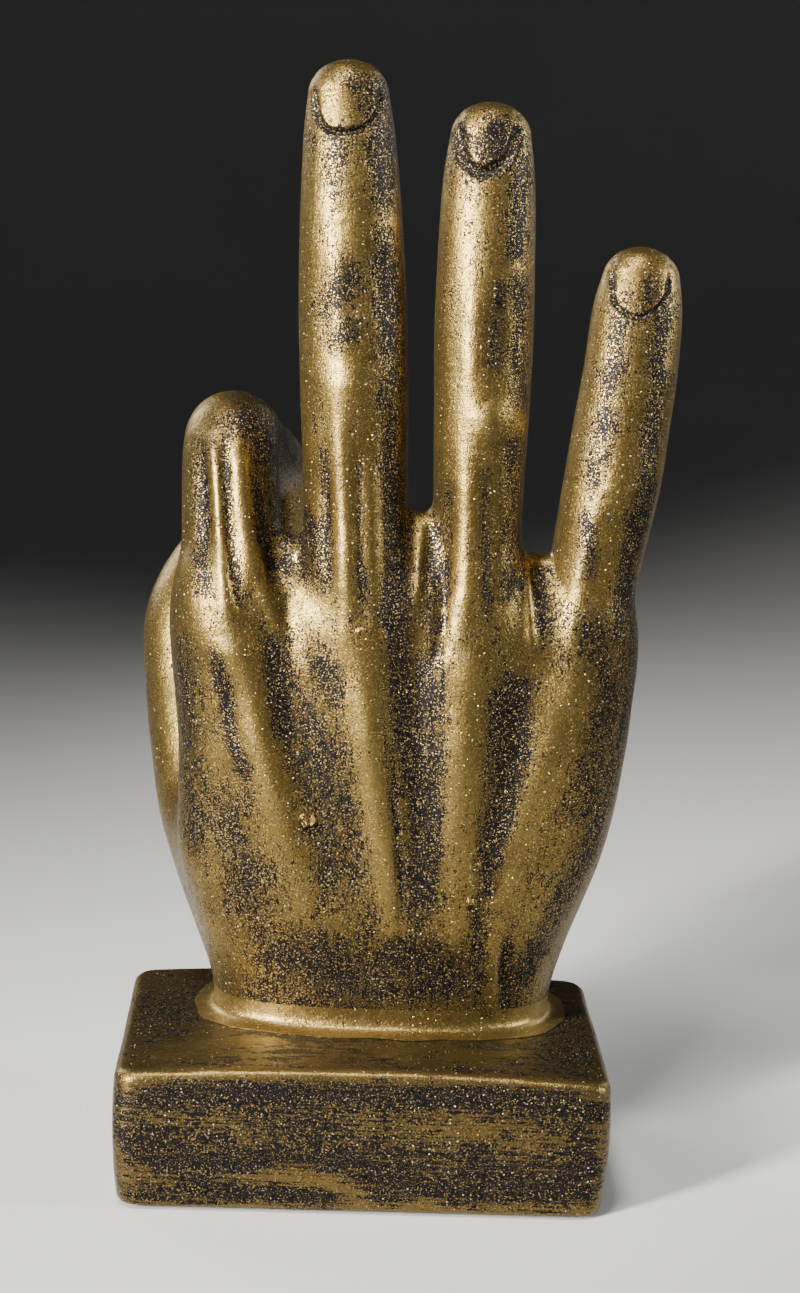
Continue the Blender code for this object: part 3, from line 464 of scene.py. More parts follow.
# Heights out of a frame between which its strokes take hold, and how far from a bone they reach
FRAME_HOLDS = {
    "back": (-2, 3),
    "palm": (4, 8),
    "front": (30, 32),
    "top": (27, 28),
    "bone": (-1, 2),
}
BONE_REACH = 15
BONE_REACH_SOFT = 2
# Ends of a faded stroke: the share that is left there, and how it grows from them
FADE_LEAST = 0.08
FADE_POWER = 0.8
# Points that round the corners of a stroke's path
PATH_STEPS = 4

# Plinth's patina, in frames seen from its front and from above: same columns
PLINTH_PATINA = (
    ("front", 0.45, 14, -44, 14, 44, 14),
    ("front", 0.85, 3.4, -46, 23, -30, 24.5, -8, 25, 14, 25, 34, 24.5, 46, 22),
    ("front", 0.75, 4, -46, 15, -38, 10, -20, 11, -6, 14),
    ("front", 0.85, 3, -44, 3, -20, 5, -6, 3),
    ("front", 0.75, 4.4, 2, 9, 18, 8, 34, 7, 44, 11),
    ("front", 0.85, 4, 42, 21, 44.5, 6),
    ("top", 0.2, 10, -30, -26, -12, -30, 2, -28),
    ("top", 0.4, 6, -42, 10, -40, -14),
    ("top", 0.4, 6, 20, -28, 42, -20, 44, 6),
    ("top", 0.55, 3, -14, -12, 2, -17),
    ("top", 0.45, 3, 22, -16, 34, -12),
    ("top", 0.5, 6, -30, 28, 0, 30, 34, 27),
)
PLINTH_RUBBED = (
    ("top", 0.45, 1.6, -46, -32.6, 0, -33.2, 46, -32.6),
    ("top", 0.6, 6, -38, -22, -24, -16),
    ("top", 0.6, 5, 8, -24, 30, -24),
    ("front", 0.55, 2.2, -26, 7.6, -12, 7.4, 0, 5.4),
    ("front", 0.4, 3, 0, 19, 20, 18.4, 36, 16),
    ("front", 0.35, 2.4, -40, 19, -26, 18),
)
# Plinth's mesh: voxel, depth and length of its waves, rounds of softening
PLINTH_VOXEL = 0.9
PLINTH_WAVE = 0.35
PLINTH_WAVE_LENGTH = 14
PLINTH_SOFTENING = 2
# Height over which the waves fade out towards the underside
PLINTH_FOOT_FADE = 2

# Bead of filler: how far it bites into its neighbours, how uneven its width is, its steps up and round, the
# angle of a sharp edge, what is rubbed off its patina, how hollow it is, and a painted highlight that makes
# its gold brighter all over
BEAD_BITE = 0.12
BEAD_UNEVEN = 0.9
BEAD_UNEVEN_LENGTH = 9
BEAD_STEPS = 14
BEAD_POINTS = 144
BEAD_SHARP = 50
BEAD_RUBBED = 0.3
BEAD_HOLLOW = 1.5
BEAD_PAINTED_HIGHLIGHT = 0.5
# Search for the wrist's outline: nearest and furthest radius, and rounds of halving
OUTLINE_SPAN = (5, 70)
OUTLINE_ROUNDS = 22

# Noises of the finish: turns per millimetre, detail, roughness and distortion
GRAIN = (3, 2, 0.6)
MOTTLE = (0.8, 4, 0.7)
CLOUD = (0.16, 3, 0.6)
DRIFT = (0.09, 3, 0.55, 0.4)
SPECK_PATCHES = (0.035, 2)
STREAK = (1, 4, 0.65)
# Scale of the streaks along each axis, on the hand and on the block
HAND_STREAKS = (1.5, 1.5, 0.16)
BLOCK_STREAKS = (0.12, 0.5, 2.4)
# Spans that the noises are stretched from
NOISE_SPAN = (0.3, 0.7)
DRIFT_SPAN = (0.36, 0.66)
PATCH_SPAN = (0.42, 0.58)
PATCH_LEAST = 0.2
# Depths of the relief in millimetres, and how deep black lies against the grain
GRAIN_DEPTH = 0.03
STREAK_DEPTH = 0.02
SWELL_DEPTH = 0.12
BLACK_SUNK = 0.3
# Raised grains: how many per millimetre, the share that stands up, radius as a share of the pitch, slope of
# their rim, height in millimetres, how much a painted glint of pale gold covers them, less where the gold is
# darkened, and the loss of metal that keeps that painted glint bright
SPECK_SCALE = 1.3
SPECK_SHARE = 0.5
SPECK_RADIUS = 0.33
SPECK_RIM = (0.1, 0.5)
SPECK_HEIGHT = 0.26
SPECK_PAINTED_GLINT = 0.8
SPECK_PAINTED_GLINT_DARKENED = 0.4
SPECK_DULL = 0.35
# Black share of the surface: least and most, from the drift, the painted patina with its few strokes of
# painted shade, and the hollows
BLACK_LIMITS = (0.27, 0.7)
DRIFT_BLACK = (0.3, 0.46)
PATINA_AND_PAINTED_SHADE_BLACK = 0.3
HOLLOW_BLACK = 0.35
BLOCK_BLACK = 0.09
# Shares of the mottle and the streaks in the pattern that splits the surface into black and gold
MOTTLE_SHARE = 0.27
HAND_BRUSHED = 0.28
BLOCK_BRUSHED = 0.5
DITHER_SOFTNESS = 0.05
# Gold: shares of the cloud, mottle and grain in its tone, how rubbing and crests lighten it, partly as
# rubbed wear and partly as a painted highlight, painted glints on the peaks of the grain, and how far it is
# darkened along with the patina and on the block
TONE_SHARES = (0.5, 0.2, 0.3)
PATINA_LIGHT = 0.1
HOLLOW_LIGHT = 0.6
PAINTED_GRAIN_GLINT_SPAN = (0.72, 0.95)
PAINTED_GRAIN_GLINT_MOST = 0.6
PAINTED_GRAIN_GLINT_DARKENED = 0.8
DARKENING_REACH = 0.6
DARKENING_MOST = 0.9
BLOCK_DARKENING = 0.6
# Colours as linear red, green and blue
GOLD_DARK = (0.12, 0.085, 0.024)
GOLD_MID = (0.36, 0.24, 0.058)
GOLD_LIGHT = (0.72, 0.51, 0.17)
GOLD_PAINTED_GLINT = (1, 0.82, 0.48)
GOLD_DARKENED = (0.062, 0.042, 0.017)
BLACK_DEEP = (0.0015, 0.0013, 0.0018)
BLACK_DUSTY = (0.011, 0.009, 0.009)
# How metallic, rough and glossy gold and black are, and how grain and raised grains change the roughness
GOLD_METAL = 0.92
GOLD_ROUGH = 0.28
BLACK_METAL = 0.35
BLACK_ROUGH = 0.42
BLACK_GLOSS = 0.1
GRAIN_ROUGH = 0.1
SPECK_SMOOTH = 0.1

# Steel pieces inside, which all get the zinc finish
STEEL_PIECES = (
    "anchor_rod",
    "anchor_washer",
    "anchor_nut",
    "dowel_pin_thumb_side",
    "dowel_pin_little_side",
)
# Felt, zinc and floor: noises, colours between which they vary, roughness and depth in millimetres
FELT_FIBRES = (3.5, 4, 0.75, 1.6)
FELT_PATCHES = (0.12, 2)
FELT_SHARES = (0.7, 0.3)
FELT_SPAN = (0.35, 0.7)
FELT_ROUGH = (0.88, 1)
FELT_DEPTH = 0.25
FELT_SHEEN = 0.3
FELT_COLOURS = ((0.006, 0.006, 0.007), (0.035, 0.034, 0.038))
ZINC_SPOTS = (0.5, 4, 0.6)
ZINC_SCRATCHES = (1, 3, 0.6)
ZINC_BRUSHING = (0.3, 0.3, 6)
ZINC_SPAN = (0.35, 0.65)
ZINC_DULL_SPAN = (0.7, 1.3)
ZINC_ROUGH = (0.25, 0.5)
ZINC_DEPTH = 0.02
ZINC_COLOURS = ((0.5, 0.5, 0.46), (0.6, 0.62, 0.66))
PAPER_FIBRE = (0.8, 3, 0.6)
PAPER_WASH = (0.004, 2)
PAPER_ROUGH = (0.7, 0.85)
PAPER_DEPTH = 0.05
PAPER_COLOURS = ((0.58, 0.58, 0.57), (0.63, 0.63, 0.63))
# Scale of a noise that isn't stretched
EVEN = (1, 1, 1)


def curve_rows(rows, steps):
    """Rows of numbers with more between them, along a smooth curve through them all."""
    rows = np.array(rows, float)
    ends = np.vstack([2 * rows[0] - rows[1], rows, 2 * rows[-1] - rows[-2]])
    made = []
    for i in range(1, len(ends) - 2):
        a, b, c, d = ends[i - 1 : i + 3]
        for t in np.arange(steps) / steps:
            bend = 2 * a - 5 * b + 4 * c - d
            twist = 3 * b - a - 3 * c + d
            made.append(0.5 * (2 * b + (c - a) * t + bend * t**2 + twist * t**3))
    made.append(rows[-1])
    return np.array(made)


def limb_rows(centres, breadths, depths, backs):
    """A limb as rows of centre, half breadth, half depth and the way that its back faces."""
    return curve_rows(np.column_stack([centres, breadths, depths, backs]), SECTION_STEPS)


def bone_direction(bend, lean):
    bend, lean = math.radians(bend), math.radians(lean)
    return np.array((math.sin(lean), math.cos(lean) * math.sin(bend), math.cos(lean) * math.cos(bend)))


def finger_rows(finger):
    """A finger from inside the palm to its tip, with a section at each joint and halfway along each bone."""
    bones, breadths, depths = finger.bones, finger.breadths, finger.depths
    ways = [bone_direction(bend, lean) for bend, lean in zip(finger.bends, finger.leans)]
    joints = [np.array(finger.knuckle, float)]
    for bone, way in zip(bones, ways):
        joints.append(joints[-1] + bone * way)
    tip_round = math.sqrt(breadths[-1] * depths[-1])
    centres = [
        finger.ray_end,
        joints[0],
        joints[0] + bones[0] / 2 * ways[0],
        joints[1],
        joints[1] + bones[1] / 2 * ways[1],
        joints[2],
        joints[2] + LAST_BONE_SECTION * bones[2] * ways[2],
        joints[3] - tip_round * ways[2],
    ]
    breadths = (breadths[0] - RAY_THINNER[0], *breadths)
    depths = (depths[0] - RAY_THINNER[1], *depths)
    ahead = [ways[0], ways[0], ways[0], ways[0] + ways[1], ways[1], ways[1] + ways[2], ways[2], ways[2]]
    backs = [np.cross((1.0, 0.0, 0.0), way / np.linalg.norm(way)) for way in ahead]
    return limb_rows(centres, breadths, depths, backs)


def hand_limbs():
    """Every limb of the hand by name."""
    return {
        "fingers": [finger_rows(finger) for finger in FINGERS.values()],
        "thumb": curve_rows(THUMB, SECTION_STEPS),
        "heel": curve_rows(HEEL, SECTION_STEPS),
        "webs": [limb_rows(web, WEB_RADII, WEB_RADII, [(0.0, -1.0, 0.0)] * 2) for web in WEBS],
        "palm": curve_rows(PALM_SECTIONS, 2 * SECTION_STEPS),
    }


def oval_distance(u, v, s, breadth, depth, length):
    """Distance to an oval's skin, right near the skin and negative inside it."""
    near = np.sqrt((u / breadth) ** 2 + (v / depth) ** 2 + (s / length) ** 2)
    slope = np.sqrt((u / breadth**2) ** 2 + (v / depth**2) ** 2 + (s / length**2) ** 2)
    return near * (near - 1) / np.maximum(slope, 1e-9)


def limb_distance(points, rows, reach=16.0):
    """Distance to a limb. Points further off than the reach take no part in it."""
    margin = rows[:, 3:5].max() + reach
    inside = (points > rows[:, :3].min(0) - margin) & (points < rows[:, :3].max(0) + margin)
    chosen = inside.all(axis=1)
    near = points[chosen]
    least = np.full(len(near), NO_SHARE)
    for start, end in zip(rows[:-1], rows[1:]):
        step = end[:3] - start[:3]
        length = np.linalg.norm(step)
        axis = step / length
        back = start[5:8] + end[5:8]
        back = back - (back @ axis) * axis
        back /= np.linalg.norm(back)
        offset = near - start[:3]
        along = offset @ axis
        share = np.clip(along / length, 0, 1)
        breadth = start[3] + share * (end[3] - start[3])
        depth = start[4] + share * (end[4] - start[4])
        past_end = along - share * length
        across = offset @ np.cross(axis, back)
        distance = oval_distance(across, offset @ back, past_end, breadth, depth, np.sqrt(breadth * depth))
        least = np.minimum(least, distance)
    result = np.full(len(points), NO_SHARE)
    result[chosen] = least
    return result


def palm_distance(points, sections):
    """Distance to the palm and wrist, whose sections are rounded rectangles with a round top."""
    height = np.clip(points[:, 2], sections[0, 0], sections[-1, 0])
    left, right, back, front = (np.interp(height, sections[:, 0], sections[:, i]) for i in range(1, 5))
    u, v = points[:, 0] - (left + right) / 2, points[:, 1] - (back + front) / 2
    over = np.maximum(points[:, 2] - sections[-1, 0], 0)
    power = PALM_SQUARENESS
    terms = np.abs(2 * u / (right - left)) ** power + np.abs(2 * v / (front - back)) ** power
    ratio = np.maximum((terms + (over / PALM_TOP_ROUND) ** power) ** (1 / power), 1e-3)
    return (1 - 1 / ratio) * np.sqrt(u**2 + v**2 + over**2)


def smooth_min(first, second, blend):
    """The lesser of two distances, with a fillet as wide as the blend where they are alike."""
    share = np.clip(0.5 + 0.5 * (second - first) / blend, 0, 1)
    return second + (first - second) * share - blend * share * (1 - share)


def skin_distance(points, limbs):
    """Distance to the skin of the whole hand, before it is carved."""
    palm = palm_distance(points, limbs["palm"])
    palm = smooth_min(palm, limb_distance(points, limbs["heel"]), BLEND_FLESH)
    u, v, s = (points - np.array(BALL_CENTRE)).T
    palm = smooth_min(palm, oval_distance(u, v, s, *BALL_RADII), BLEND_FLESH)
    fingers = np.full(len(points), NO_SHARE)
    for rows in limbs["fingers"]:
        fingers = smooth_min(fingers, limb_distance(points, rows), BLEND_FINGERS)
    for rows in limbs["webs"]:
        fingers = smooth_min(fingers, limb_distance(points, rows), BLEND_WEB)
    hand = smooth_min(palm, fingers, BLEND_FINGER_PALM)
    thumb_blend = np.interp(
        points[:, 2], (THUMB_ROOT_TOP, THUMB_FREE_FROM), (BLEND_THUMB_ROOT, BLEND_THUMB_TIP)
    )
    return smooth_min(hand, limb_distance(points, limbs["thumb"]), thumb_blend)


def oval_rings(rows):
    """Rings of points round a limb, closed down to a small ring past each end."""
    angles = 2 * math.pi * np.arange(RING_POINTS) / RING_POINTS
    rings = []
    steps = np.gradient(rows[:, :3], axis=0)
    for number, (row, step) in enumerate(zip(rows, steps)):
        axis = step / np.linalg.norm(step)
        back = row[5:8] - (row[5:8] @ axis) * axis
        back /= np.linalg.norm(back)
        side = np.cross(axis, back)
        ring = np.outer(np.cos(angles) * row[3], side) + np.outer(np.sin(angles) * row[4], back)
        cap = math.sqrt(row[3] * row[4])
        if number == 0:
            rings.append(row[:3] + CAP_RING * ring - CAP_REACH * cap * axis)
        rings.append(row[:3] + ring)
        if number == len(rows) - 1:
            rings.append(row[:3] + CAP_RING * ring + CAP_REACH * cap * axis)
    return rings


def palm_rings(sections):
    angles = 2 * math.pi * np.arange(2 * RING_POINTS) / (2 * RING_POINTS)
    power = 2 / PALM_SQUARENESS
    cosine = np.sign(np.cos(angles)) * np.abs(np.cos(angles)) ** power
    sine = np.sign(np.sin(angles)) * np.abs(np.sin(angles)) ** power
    rings = []
    for z, left, right, back, front in sections:
        x = (left + right) / 2 + (right - left) / 2 * cosine
        y = (back + front) / 2 + (front - back) / 2 * sine
        rings.append(np.column_stack([x, y, np.full(len(x), z)]))
    return rings


def loft(bm, rings):
    """Joins closed rings of as many points each by bands of faces, and caps both ends."""
    made = [[bm.verts.new(point) for point in ring] for ring in rings]
    for low, high in zip(made, made[1:]):
        for i, vert in enumerate(low):
            j = (i + 1) % len(low)
            bm.faces.new((vert, low[j], high[j], high[i]))
    bm.faces.new(list(reversed(made[0])))
    bm.faces.new(made[-1])


def unit(vector):
    vector = np.asarray(vector, float)
    return vector / np.linalg.norm(vector)


def make_frame(origin, along, back):
    """A frame on the skin: its origin, and the ways across, along and out of the skin."""
    along = unit(along)
    back = unit(back - (back @ along) * along)
    return np.asarray(origin, float), np.cross(along, back), along, back


def bone_frames(name, finger):
    """Frames of a finger's three bones, seen from its back and, with front in the name, from its palm."""
    frames = {}
    joint = np.array(finger.knuckle, float)
    for number, (bone, bend, lean) in enumerate(zip(finger.bones, finger.bends, finger.leans)):
        way = bone_direction(bend, lean)
        back = np.cross((1.0, 0.0, 0.0), way)
        frames[f"{name}{number}"] = make_frame(joint, way, back)
        frames[f"{name}_front{number}"] = make_frame(joint, way, -back)
        joint = joint + bone * way
    return frames


def carving_frames():
    """Every frame that strokes are laid in, by name."""
    up = np.array((0.0, 0.0, 1.0))
    frames = {
        "back": (np.zeros(3), np.array((1.0, 0.0, 0.0)), up, np.array((0.0, -1.0, 0.0))),
        "palm": (np.zeros(3), np.array((1.0, 0.0, 0.0)), up, np.array((0.0, 1.0, 0.0))),
    }
    for name, finger in FINGERS.items():
        frames.update(bone_frames(name, finger))
    origin, across, along, out = frames["index1"]
    frames["index_side1"] = (origin, out, along, across)
    thumb = np.array(THUMB)
    frames["thumb2"] = make_frame(thumb[-3, :3], thumb[-1, :3] - thumb[-3, :3], thumb[-2, 5:])
    return frames


def in_frame(name, points, frames):
    """Points as across and along in a frame, and the share that a stroke there takes in each point."""
    origin, across, along, out = frames[name]
    offset = points - origin
    u, s, v = offset @ across, offset @ along, offset @ out
    low, high = FRAME_HOLDS.get(name, FRAME_HOLDS["bone"])
    share = np.clip((v - low) / (high - low), 0, 1)
    if name not in FRAME_HOLDS:
        share *= np.clip((BONE_REACH - np.hypot(u, v)) / BONE_REACH_SOFT, 0, 1)
    return u, s, share


def stroke_strength(u, s, path, half_width, fade):
    """A soft brush along a path: 1 on its line, falling off sideways, and fading at both of its ends."""
    path = np.array(path, float)
    if len(path) == 1:
        return np.exp(-((u - path[0, 0]) ** 2 + (s - path[0, 1]) ** 2) / half_width**2)
    places = np.column_stack([u, s])
    nearest, travelled = np.full(len(u), 1e9), np.zeros(len(u))
    done = 0.0
    for start, end in zip(path[:-1], path[1:]):
        step = end - start
        length = np.linalg.norm(step)
        share = np.clip((places - start) @ step / length**2, 0, 1)
        away = np.linalg.norm(places - start - share[:, None] * step, axis=1)
        closer = away < nearest
        nearest[closer] = away[closer]
        travelled[closer] = done + share[closer] * length
        done += length
    strength = np.exp(-((nearest / half_width) ** 2))
    if fade > 0:
        to_end = np.minimum(travelled, done - travelled) / min(fade, 0.5 * done)
        strength *= np.clip(FADE_LEAST + to_end, 0, 1) ** FADE_POWER
    return strength


def carve(points, strokes, frames):
    """How far the strokes lift the skin at each point."""
    lift = np.zeros(len(points))
    for name, height, half_width, fade, *path in strokes:
        u, s, share = in_frame(name, points, frames)
        lift += height * share * stroke_strength(u, s, smooth_path(path), half_width, fade)
    return lift


def smooth_path(path):
    """A path with rounded corners through the same points, one row each."""
    path = np.reshape(path, (-1, 2))
    return path if len(path) < 3 else curve_rows(path, PATH_STEPS)


def paint(points, strokes, frames):
    """The strongest stroke of paint at each point."""
    amount = np.zeros(len(points))
    for name, strength, half_width, *path in strokes:
        u, s, share = in_frame(name, points, frames)
        stroke = stroke_strength(u, s, smooth_path(path), half_width, 0.0)
        amount = np.maximum(amount, strength * share * stroke)
    return amount


def joint_wrinkles():
    strokes = []
    for name in WRINKLED_BONES:
        for along, bow in WRINKLES:
            path = (-WRINKLE_REACH, along + bow, 0.0, along, WRINKLE_REACH, along + bow)
            strokes.append((name, -WRINKLE_DEPTH, WRINKLE_HALF_WIDTH, WRINKLE_FADE, *path))
    return strokes


def palm_side_strokes():
    """Creases and pads on the palm side of the fingers."""
    strokes = list(PALM_STROKES)
    for name, places, depth in FINGER_CREASES:
        for place in places:
            path = (-CREASE_REACH, place + CREASE_BOW, 0.0, place, CREASE_REACH, place + CREASE_BOW)
            strokes.append((name, -depth, CREASE_HALF_WIDTH, CREASE_FADE, *path))
    for name, place, height, half_width in FINGER_PADS:
        strokes.append((name, height, half_width, 0.0, 0.0, place))
    return strokes


def nail_groove(u, s, root, half_width, free_end):
    """Groove round a nail: full at its root, and fading along its sides."""
    end = free_end - NAIL_SIDES_SHORT
    path = [(root[0][0] * NAIL_FLARE, end), *root, (root[-1][0] * NAIL_FLARE, end)]
    fade = np.clip((root[0][1] + NAIL_SIDE - s) / NAIL_SIDE, NAIL_FAINTEST, 1.0)
    return fade * stroke_strength(u, s, smooth_path(path), half_width, 0.0)


def nail_black(points, frames):
    """Black paint that stays in the grooves round the nails."""
    black = np.zeros(len(points))
    for name, _, half_width, free_end in NAILS:
        u, s, share = in_frame(name, points, frames)
        groove = nail_groove(u, s, NAIL_ROOTS[name], half_width * NAIL_BLACK_WIDTH, free_end)
        black = np.maximum(black, share * groove)
    return NAIL_BLACK * black


def nail_lift(points, frames):
    """Nails: a groove round the root and sides, a plate proud of the skin and a step at its free end."""
    lift = np.zeros(len(points))
    for name, depth, half_width, free_end in NAILS:
        u, s, share = in_frame(name, points, frames)
        root = np.array(NAIL_ROOTS[name])
        left, right = root[0, 0], root[-1, 0]
        groove = nail_groove(u, s, root, half_width, free_end)
        middle, half = (left + right) / 2, (right - left) / 2
        round_root = np.interp(u, root[:, 0], root[:, 1])
        inside = np.clip((s - round_root) / NAIL_SOFT, 0, 1)
        inside *= np.clip((half - np.abs(u - middle)) / NAIL_SOFT_SIDE, 0, 1)
        plate = NAIL_RISE * inside * np.clip((free_end + NAIL_TIP_PAST - s) / NAIL_SOFT, 0, 1)
        step = np.exp(-(((s - free_end - NAIL_STEP_PAST) / NAIL_STEP_WIDTH) ** 2))
        lift += share * (plate - NAIL_STEP * inside * step - depth * groove)
    return lift


def skin_lift(points, frames):
    strokes = [*BACK_STROKES, *FINGER_STROKES, *FAULTS, *joint_wrinkles(), *palm_side_strokes()]
    return carve(points, strokes, frames) + nail_lift(points, frames)


def plinth_frames():
    """Frames for paint on the plinth's front and on its top."""
    across, deep, up = np.eye(3)
    return {"front": (np.zeros(3), across, up, -deep), "top": (np.zeros(3), across, deep, up)}


def mesh_from(bm, name):
    """The bmesh, drawn in millimetres, as a mesh in metres with its faces pointing out."""
    bmesh.ops.recalc_face_normals(bm, faces=bm.faces)
    bmesh.ops.scale(bm, vec=(MM, MM, MM), verts=bm.verts)
    mesh = bpy.data.meshes.new(name)
    bm.to_mesh(mesh)
    bm.free()
    return mesh


def make_object(name, mesh, material=None):
    obj = bpy.data.objects.new(name, mesh)
    bpy.context.scene.collection.objects.link(obj)
    if material:
        mesh.materials.append(material)
    return obj


def applied(obj):
    """The object's mesh with its modifiers applied. The object itself is removed."""
    graph = bpy.context.evaluated_depsgraph_get()
    mesh = bpy.data.meshes.new_from_object(obj.evaluated_get(graph))
    bpy.data.objects.remove(obj)
    return mesh


def remeshed(mesh, name, voxel, rounds):
    """The mesh as one closed skin of even quads."""
    obj = make_object(name, mesh)
    remesh = obj.modifiers.new("melt", "REMESH")
    remesh.mode = "VOXEL"
    remesh.voxel_size = voxel * MM
    soften = obj.modifiers.new("soften", "SMOOTH")
    soften.factor = SOFTENING
    soften.iterations = rounds
    return applied(obj)


def hand_blank(limbs):
    """The limbs lofted one by one and melted into a single closed body."""
    bm = bmesh.new()
    for rows in (*limbs["fingers"], *limbs["webs"], limbs["thumb"], limbs["heel"]):
        loft(bm, oval_rings(rows))
    loft(bm, palm_rings(limbs["palm"]))
    ball = bmesh.ops.create_icosphere(bm, subdivisions=BALL_SUBDIVISIONS, radius=1.0)["verts"]
    bmesh.ops.scale(bm, vec=BALL_RADII, verts=ball)
    bmesh.ops.translate(bm, vec=BALL_CENTRE, verts=ball)
    return remeshed(mesh_from(bm, "hand_blank"), "hand_blank", SKIN_VOXEL, SOFTENING_ROUNDS)


def onto_skin(points, limbs, step=0.1):
    """Points moved to the blended skin, along the way in which their distance to it grows."""
    here = skin_distance(points, limbs)
    ahead = [skin_distance(points + axis, limbs) for axis in np.eye(3) * step]
    slope = np.stack([(there - here) / step for there in ahead], axis=1)
    steepness = np.maximum((slope**2).sum(axis=1), LEAST_STEEPNESS)
    return points - slope * (here / steepness)[:, None]


def read(items, name, width, kind=float):
    """The named values of every item, one row each."""
    values = np.empty(width * len(items), kind)
    items.foreach_get(name, values)
    return values.reshape(-1, width)


def read_points(mesh):
    return read(mesh.vertices, "co", 3) / MM


def write_points(mesh, points):
    mesh.vertices.foreach_set("co", (points * MM).ravel())
    mesh.update()


def read_edges(mesh):
    return read(mesh.edges, "vertices", 2, int)


def read_normals(mesh):
    return read(mesh.vertex_normals, "vector", 3)


def spread_evenly(points, edges, rounds):
    """Points moved halfway to the middle of their neighbours."""
    count = np.bincount(edges.ravel(), minlength=len(points))[:, None]
    for _ in range(rounds):
        total = np.zeros_like(points)
        for axis in range(3):
            for here, there in (edges.T, edges.T[::-1]):
                total[:, axis] += np.bincount(here, points[there, axis], minlength=len(points))
        points = 0.5 * points + 0.5 * total / count
    return points


def draw_onto_skin(mesh, limbs):
    """Moves the mesh's points onto the blended skin, and keeps them evenly spread."""
    points, edges = read_points(mesh), read_edges(mesh)
    for _ in range(DRAWING_ROUNDS):
        points = spread_evenly(onto_skin(points, limbs), edges, SPREADING_ROUNDS)
    write_points(mesh, onto_skin(onto_skin(points, limbs), limbs))


def subdivided(mesh, name):
    obj = make_object(name, mesh)
    finer = obj.modifiers.new("finer", "SUBSURF")
    finer.levels = 1
    finer.render_levels = 1
    return applied(obj)


def refine_places(mesh, frames):
    """Splits the faces round the nails and faults, each round into four."""
    bm = bmesh.new()
    bm.from_mesh(mesh)
    for number in range(FINE_ROUNDS):
        centres = np.array([face.calc_center_median() for face in bm.faces]) / MM
        chosen = np.zeros(len(centres), bool)
        for name, across, along, radius in FINE_PLACES:
            u, s, share = in_frame(name, centres, frames)
            near = np.hypot(u - across, s - along) < radius + 1.0 - number
            chosen |= near & (share > FINE_SHARE)
        bm.faces.ensure_lookup_table()
        edges = {edge for i in np.flatnonzero(chosen) for edge in bm.faces[i].edges}
        bmesh.ops.subdivide_edges(bm, edges=list(edges), cuts=1, use_grid_fill=True)
    bm.to_mesh(mesh)
    bm.free()


def trim_wrist(mesh, bottom):
    """Cuts the wrist off flat where it stands in the pocket."""
    bm = bmesh.new()
    bm.from_mesh(mesh)
    everything = bm.verts[:] + bm.edges[:] + bm.faces[:]
    place, up = (0, 0, bottom * MM), (0, 0, 1)
    bmesh.ops.bisect_plane(bm, geom=everything, plane_co=place, plane_no=up, clear_inner=True)
    rim = [edge for edge in bm.edges if edge.is_boundary]
    bmesh.ops.contextual_create(bm, geom=rim)
    bm.to_mesh(mesh)
    bm.free()


def hollowness(mesh):
    """How far each point lies below the mean of the skin round it, in millimetres: below 0 on a crest."""
    points = read_points(mesh)
    settled = spread_evenly(points, read_edges(mesh), HOLLOW_ROUNDS)
    return ((settled - points) * read_normals(mesh)).sum(axis=1)


def store(mesh, name, values):
    attribute = mesh.attributes.new(name, "FLOAT", "POINT")
    attribute.data.foreach_set("value", values.astype(np.float32))


def make_hand(limbs, frames, material):
    mesh = hand_blank(limbs)
    draw_onto_skin(mesh, limbs)
    mesh = subdivided(mesh, "hand_statue")
    write_points(mesh, onto_skin(read_points(mesh), limbs))
    refine_places(mesh, frames)
    points = onto_skin(read_points(mesh), limbs)
    write_points(mesh, points)
    write_points(mesh, points + read_normals(mesh) * skin_lift(points, frames)[:, None])
    kept = paint(points, PATINA_AND_PAINTED_SHADE, frames) - paint(points, RUBBED, frames)
    # This attribute holds the patina and the few strokes of painted shade
    store(mesh, "patina_and_painted_shade", np.maximum(kept, nail_black(points, frames)))
    store(mesh, "hollow", hollowness(mesh))
    trim_wrist(mesh, wrist_bottom())
    mesh.shade_smooth()
    mesh.name = "hand_statue"
    return make_object("hand_statue", mesh, material)


def plinth_top(x=PLINTH_WIDTH / 2):
    """Height of the plinth's top, which is crowned from its left edge to its right edge."""
    crown = PLINTH_CROWN * (1 - (2 * x / PLINTH_WIDTH) ** 2)
    return FELT_PROUD + PLINTH_HEIGHT + crown


def wrist_bottom():
    return plinth_top() - POCKET_DEPTH + SEAT_GAP


def skin_outlines(limbs, heights, grown):
    """The hand's outlines at several heights, each pushed outwards by its own amount."""
    count = BEAD_POINTS
    angles = 2 * math.pi * np.arange(count) / count
    ways = np.tile(np.column_stack([np.cos(angles), np.sin(angles), np.zeros(count)]), (len(heights), 1))
    centres = np.column_stack([np.full(len(heights), WRIST_X), np.full(len(heights), WRIST_Y), heights])
    centres = np.repeat(centres, count, axis=0)
    near, far = (np.full(len(ways), float(radius)) for radius in OUTLINE_SPAN)
    for _ in range(OUTLINE_ROUNDS):
        middle = (near + far) / 2
        outside = skin_distance(centres + middle[:, None] * ways, limbs) > 0
        far = np.where(outside, middle, far)
        near = np.where(outside, near, middle)
    outlines = []
    for ring, push in zip((centres + far[:, None] * ways).reshape(len(heights), count, 3), grown):
        along = np.roll(ring, -1, axis=0) - np.roll(ring, 1, axis=0)
        outward = np.column_stack([along[:, 1], -along[:, 0], np.zeros(count)])
        outlines.append(ring + push * outward / np.linalg.norm(outward, axis=1)[:, None])
    return outlines


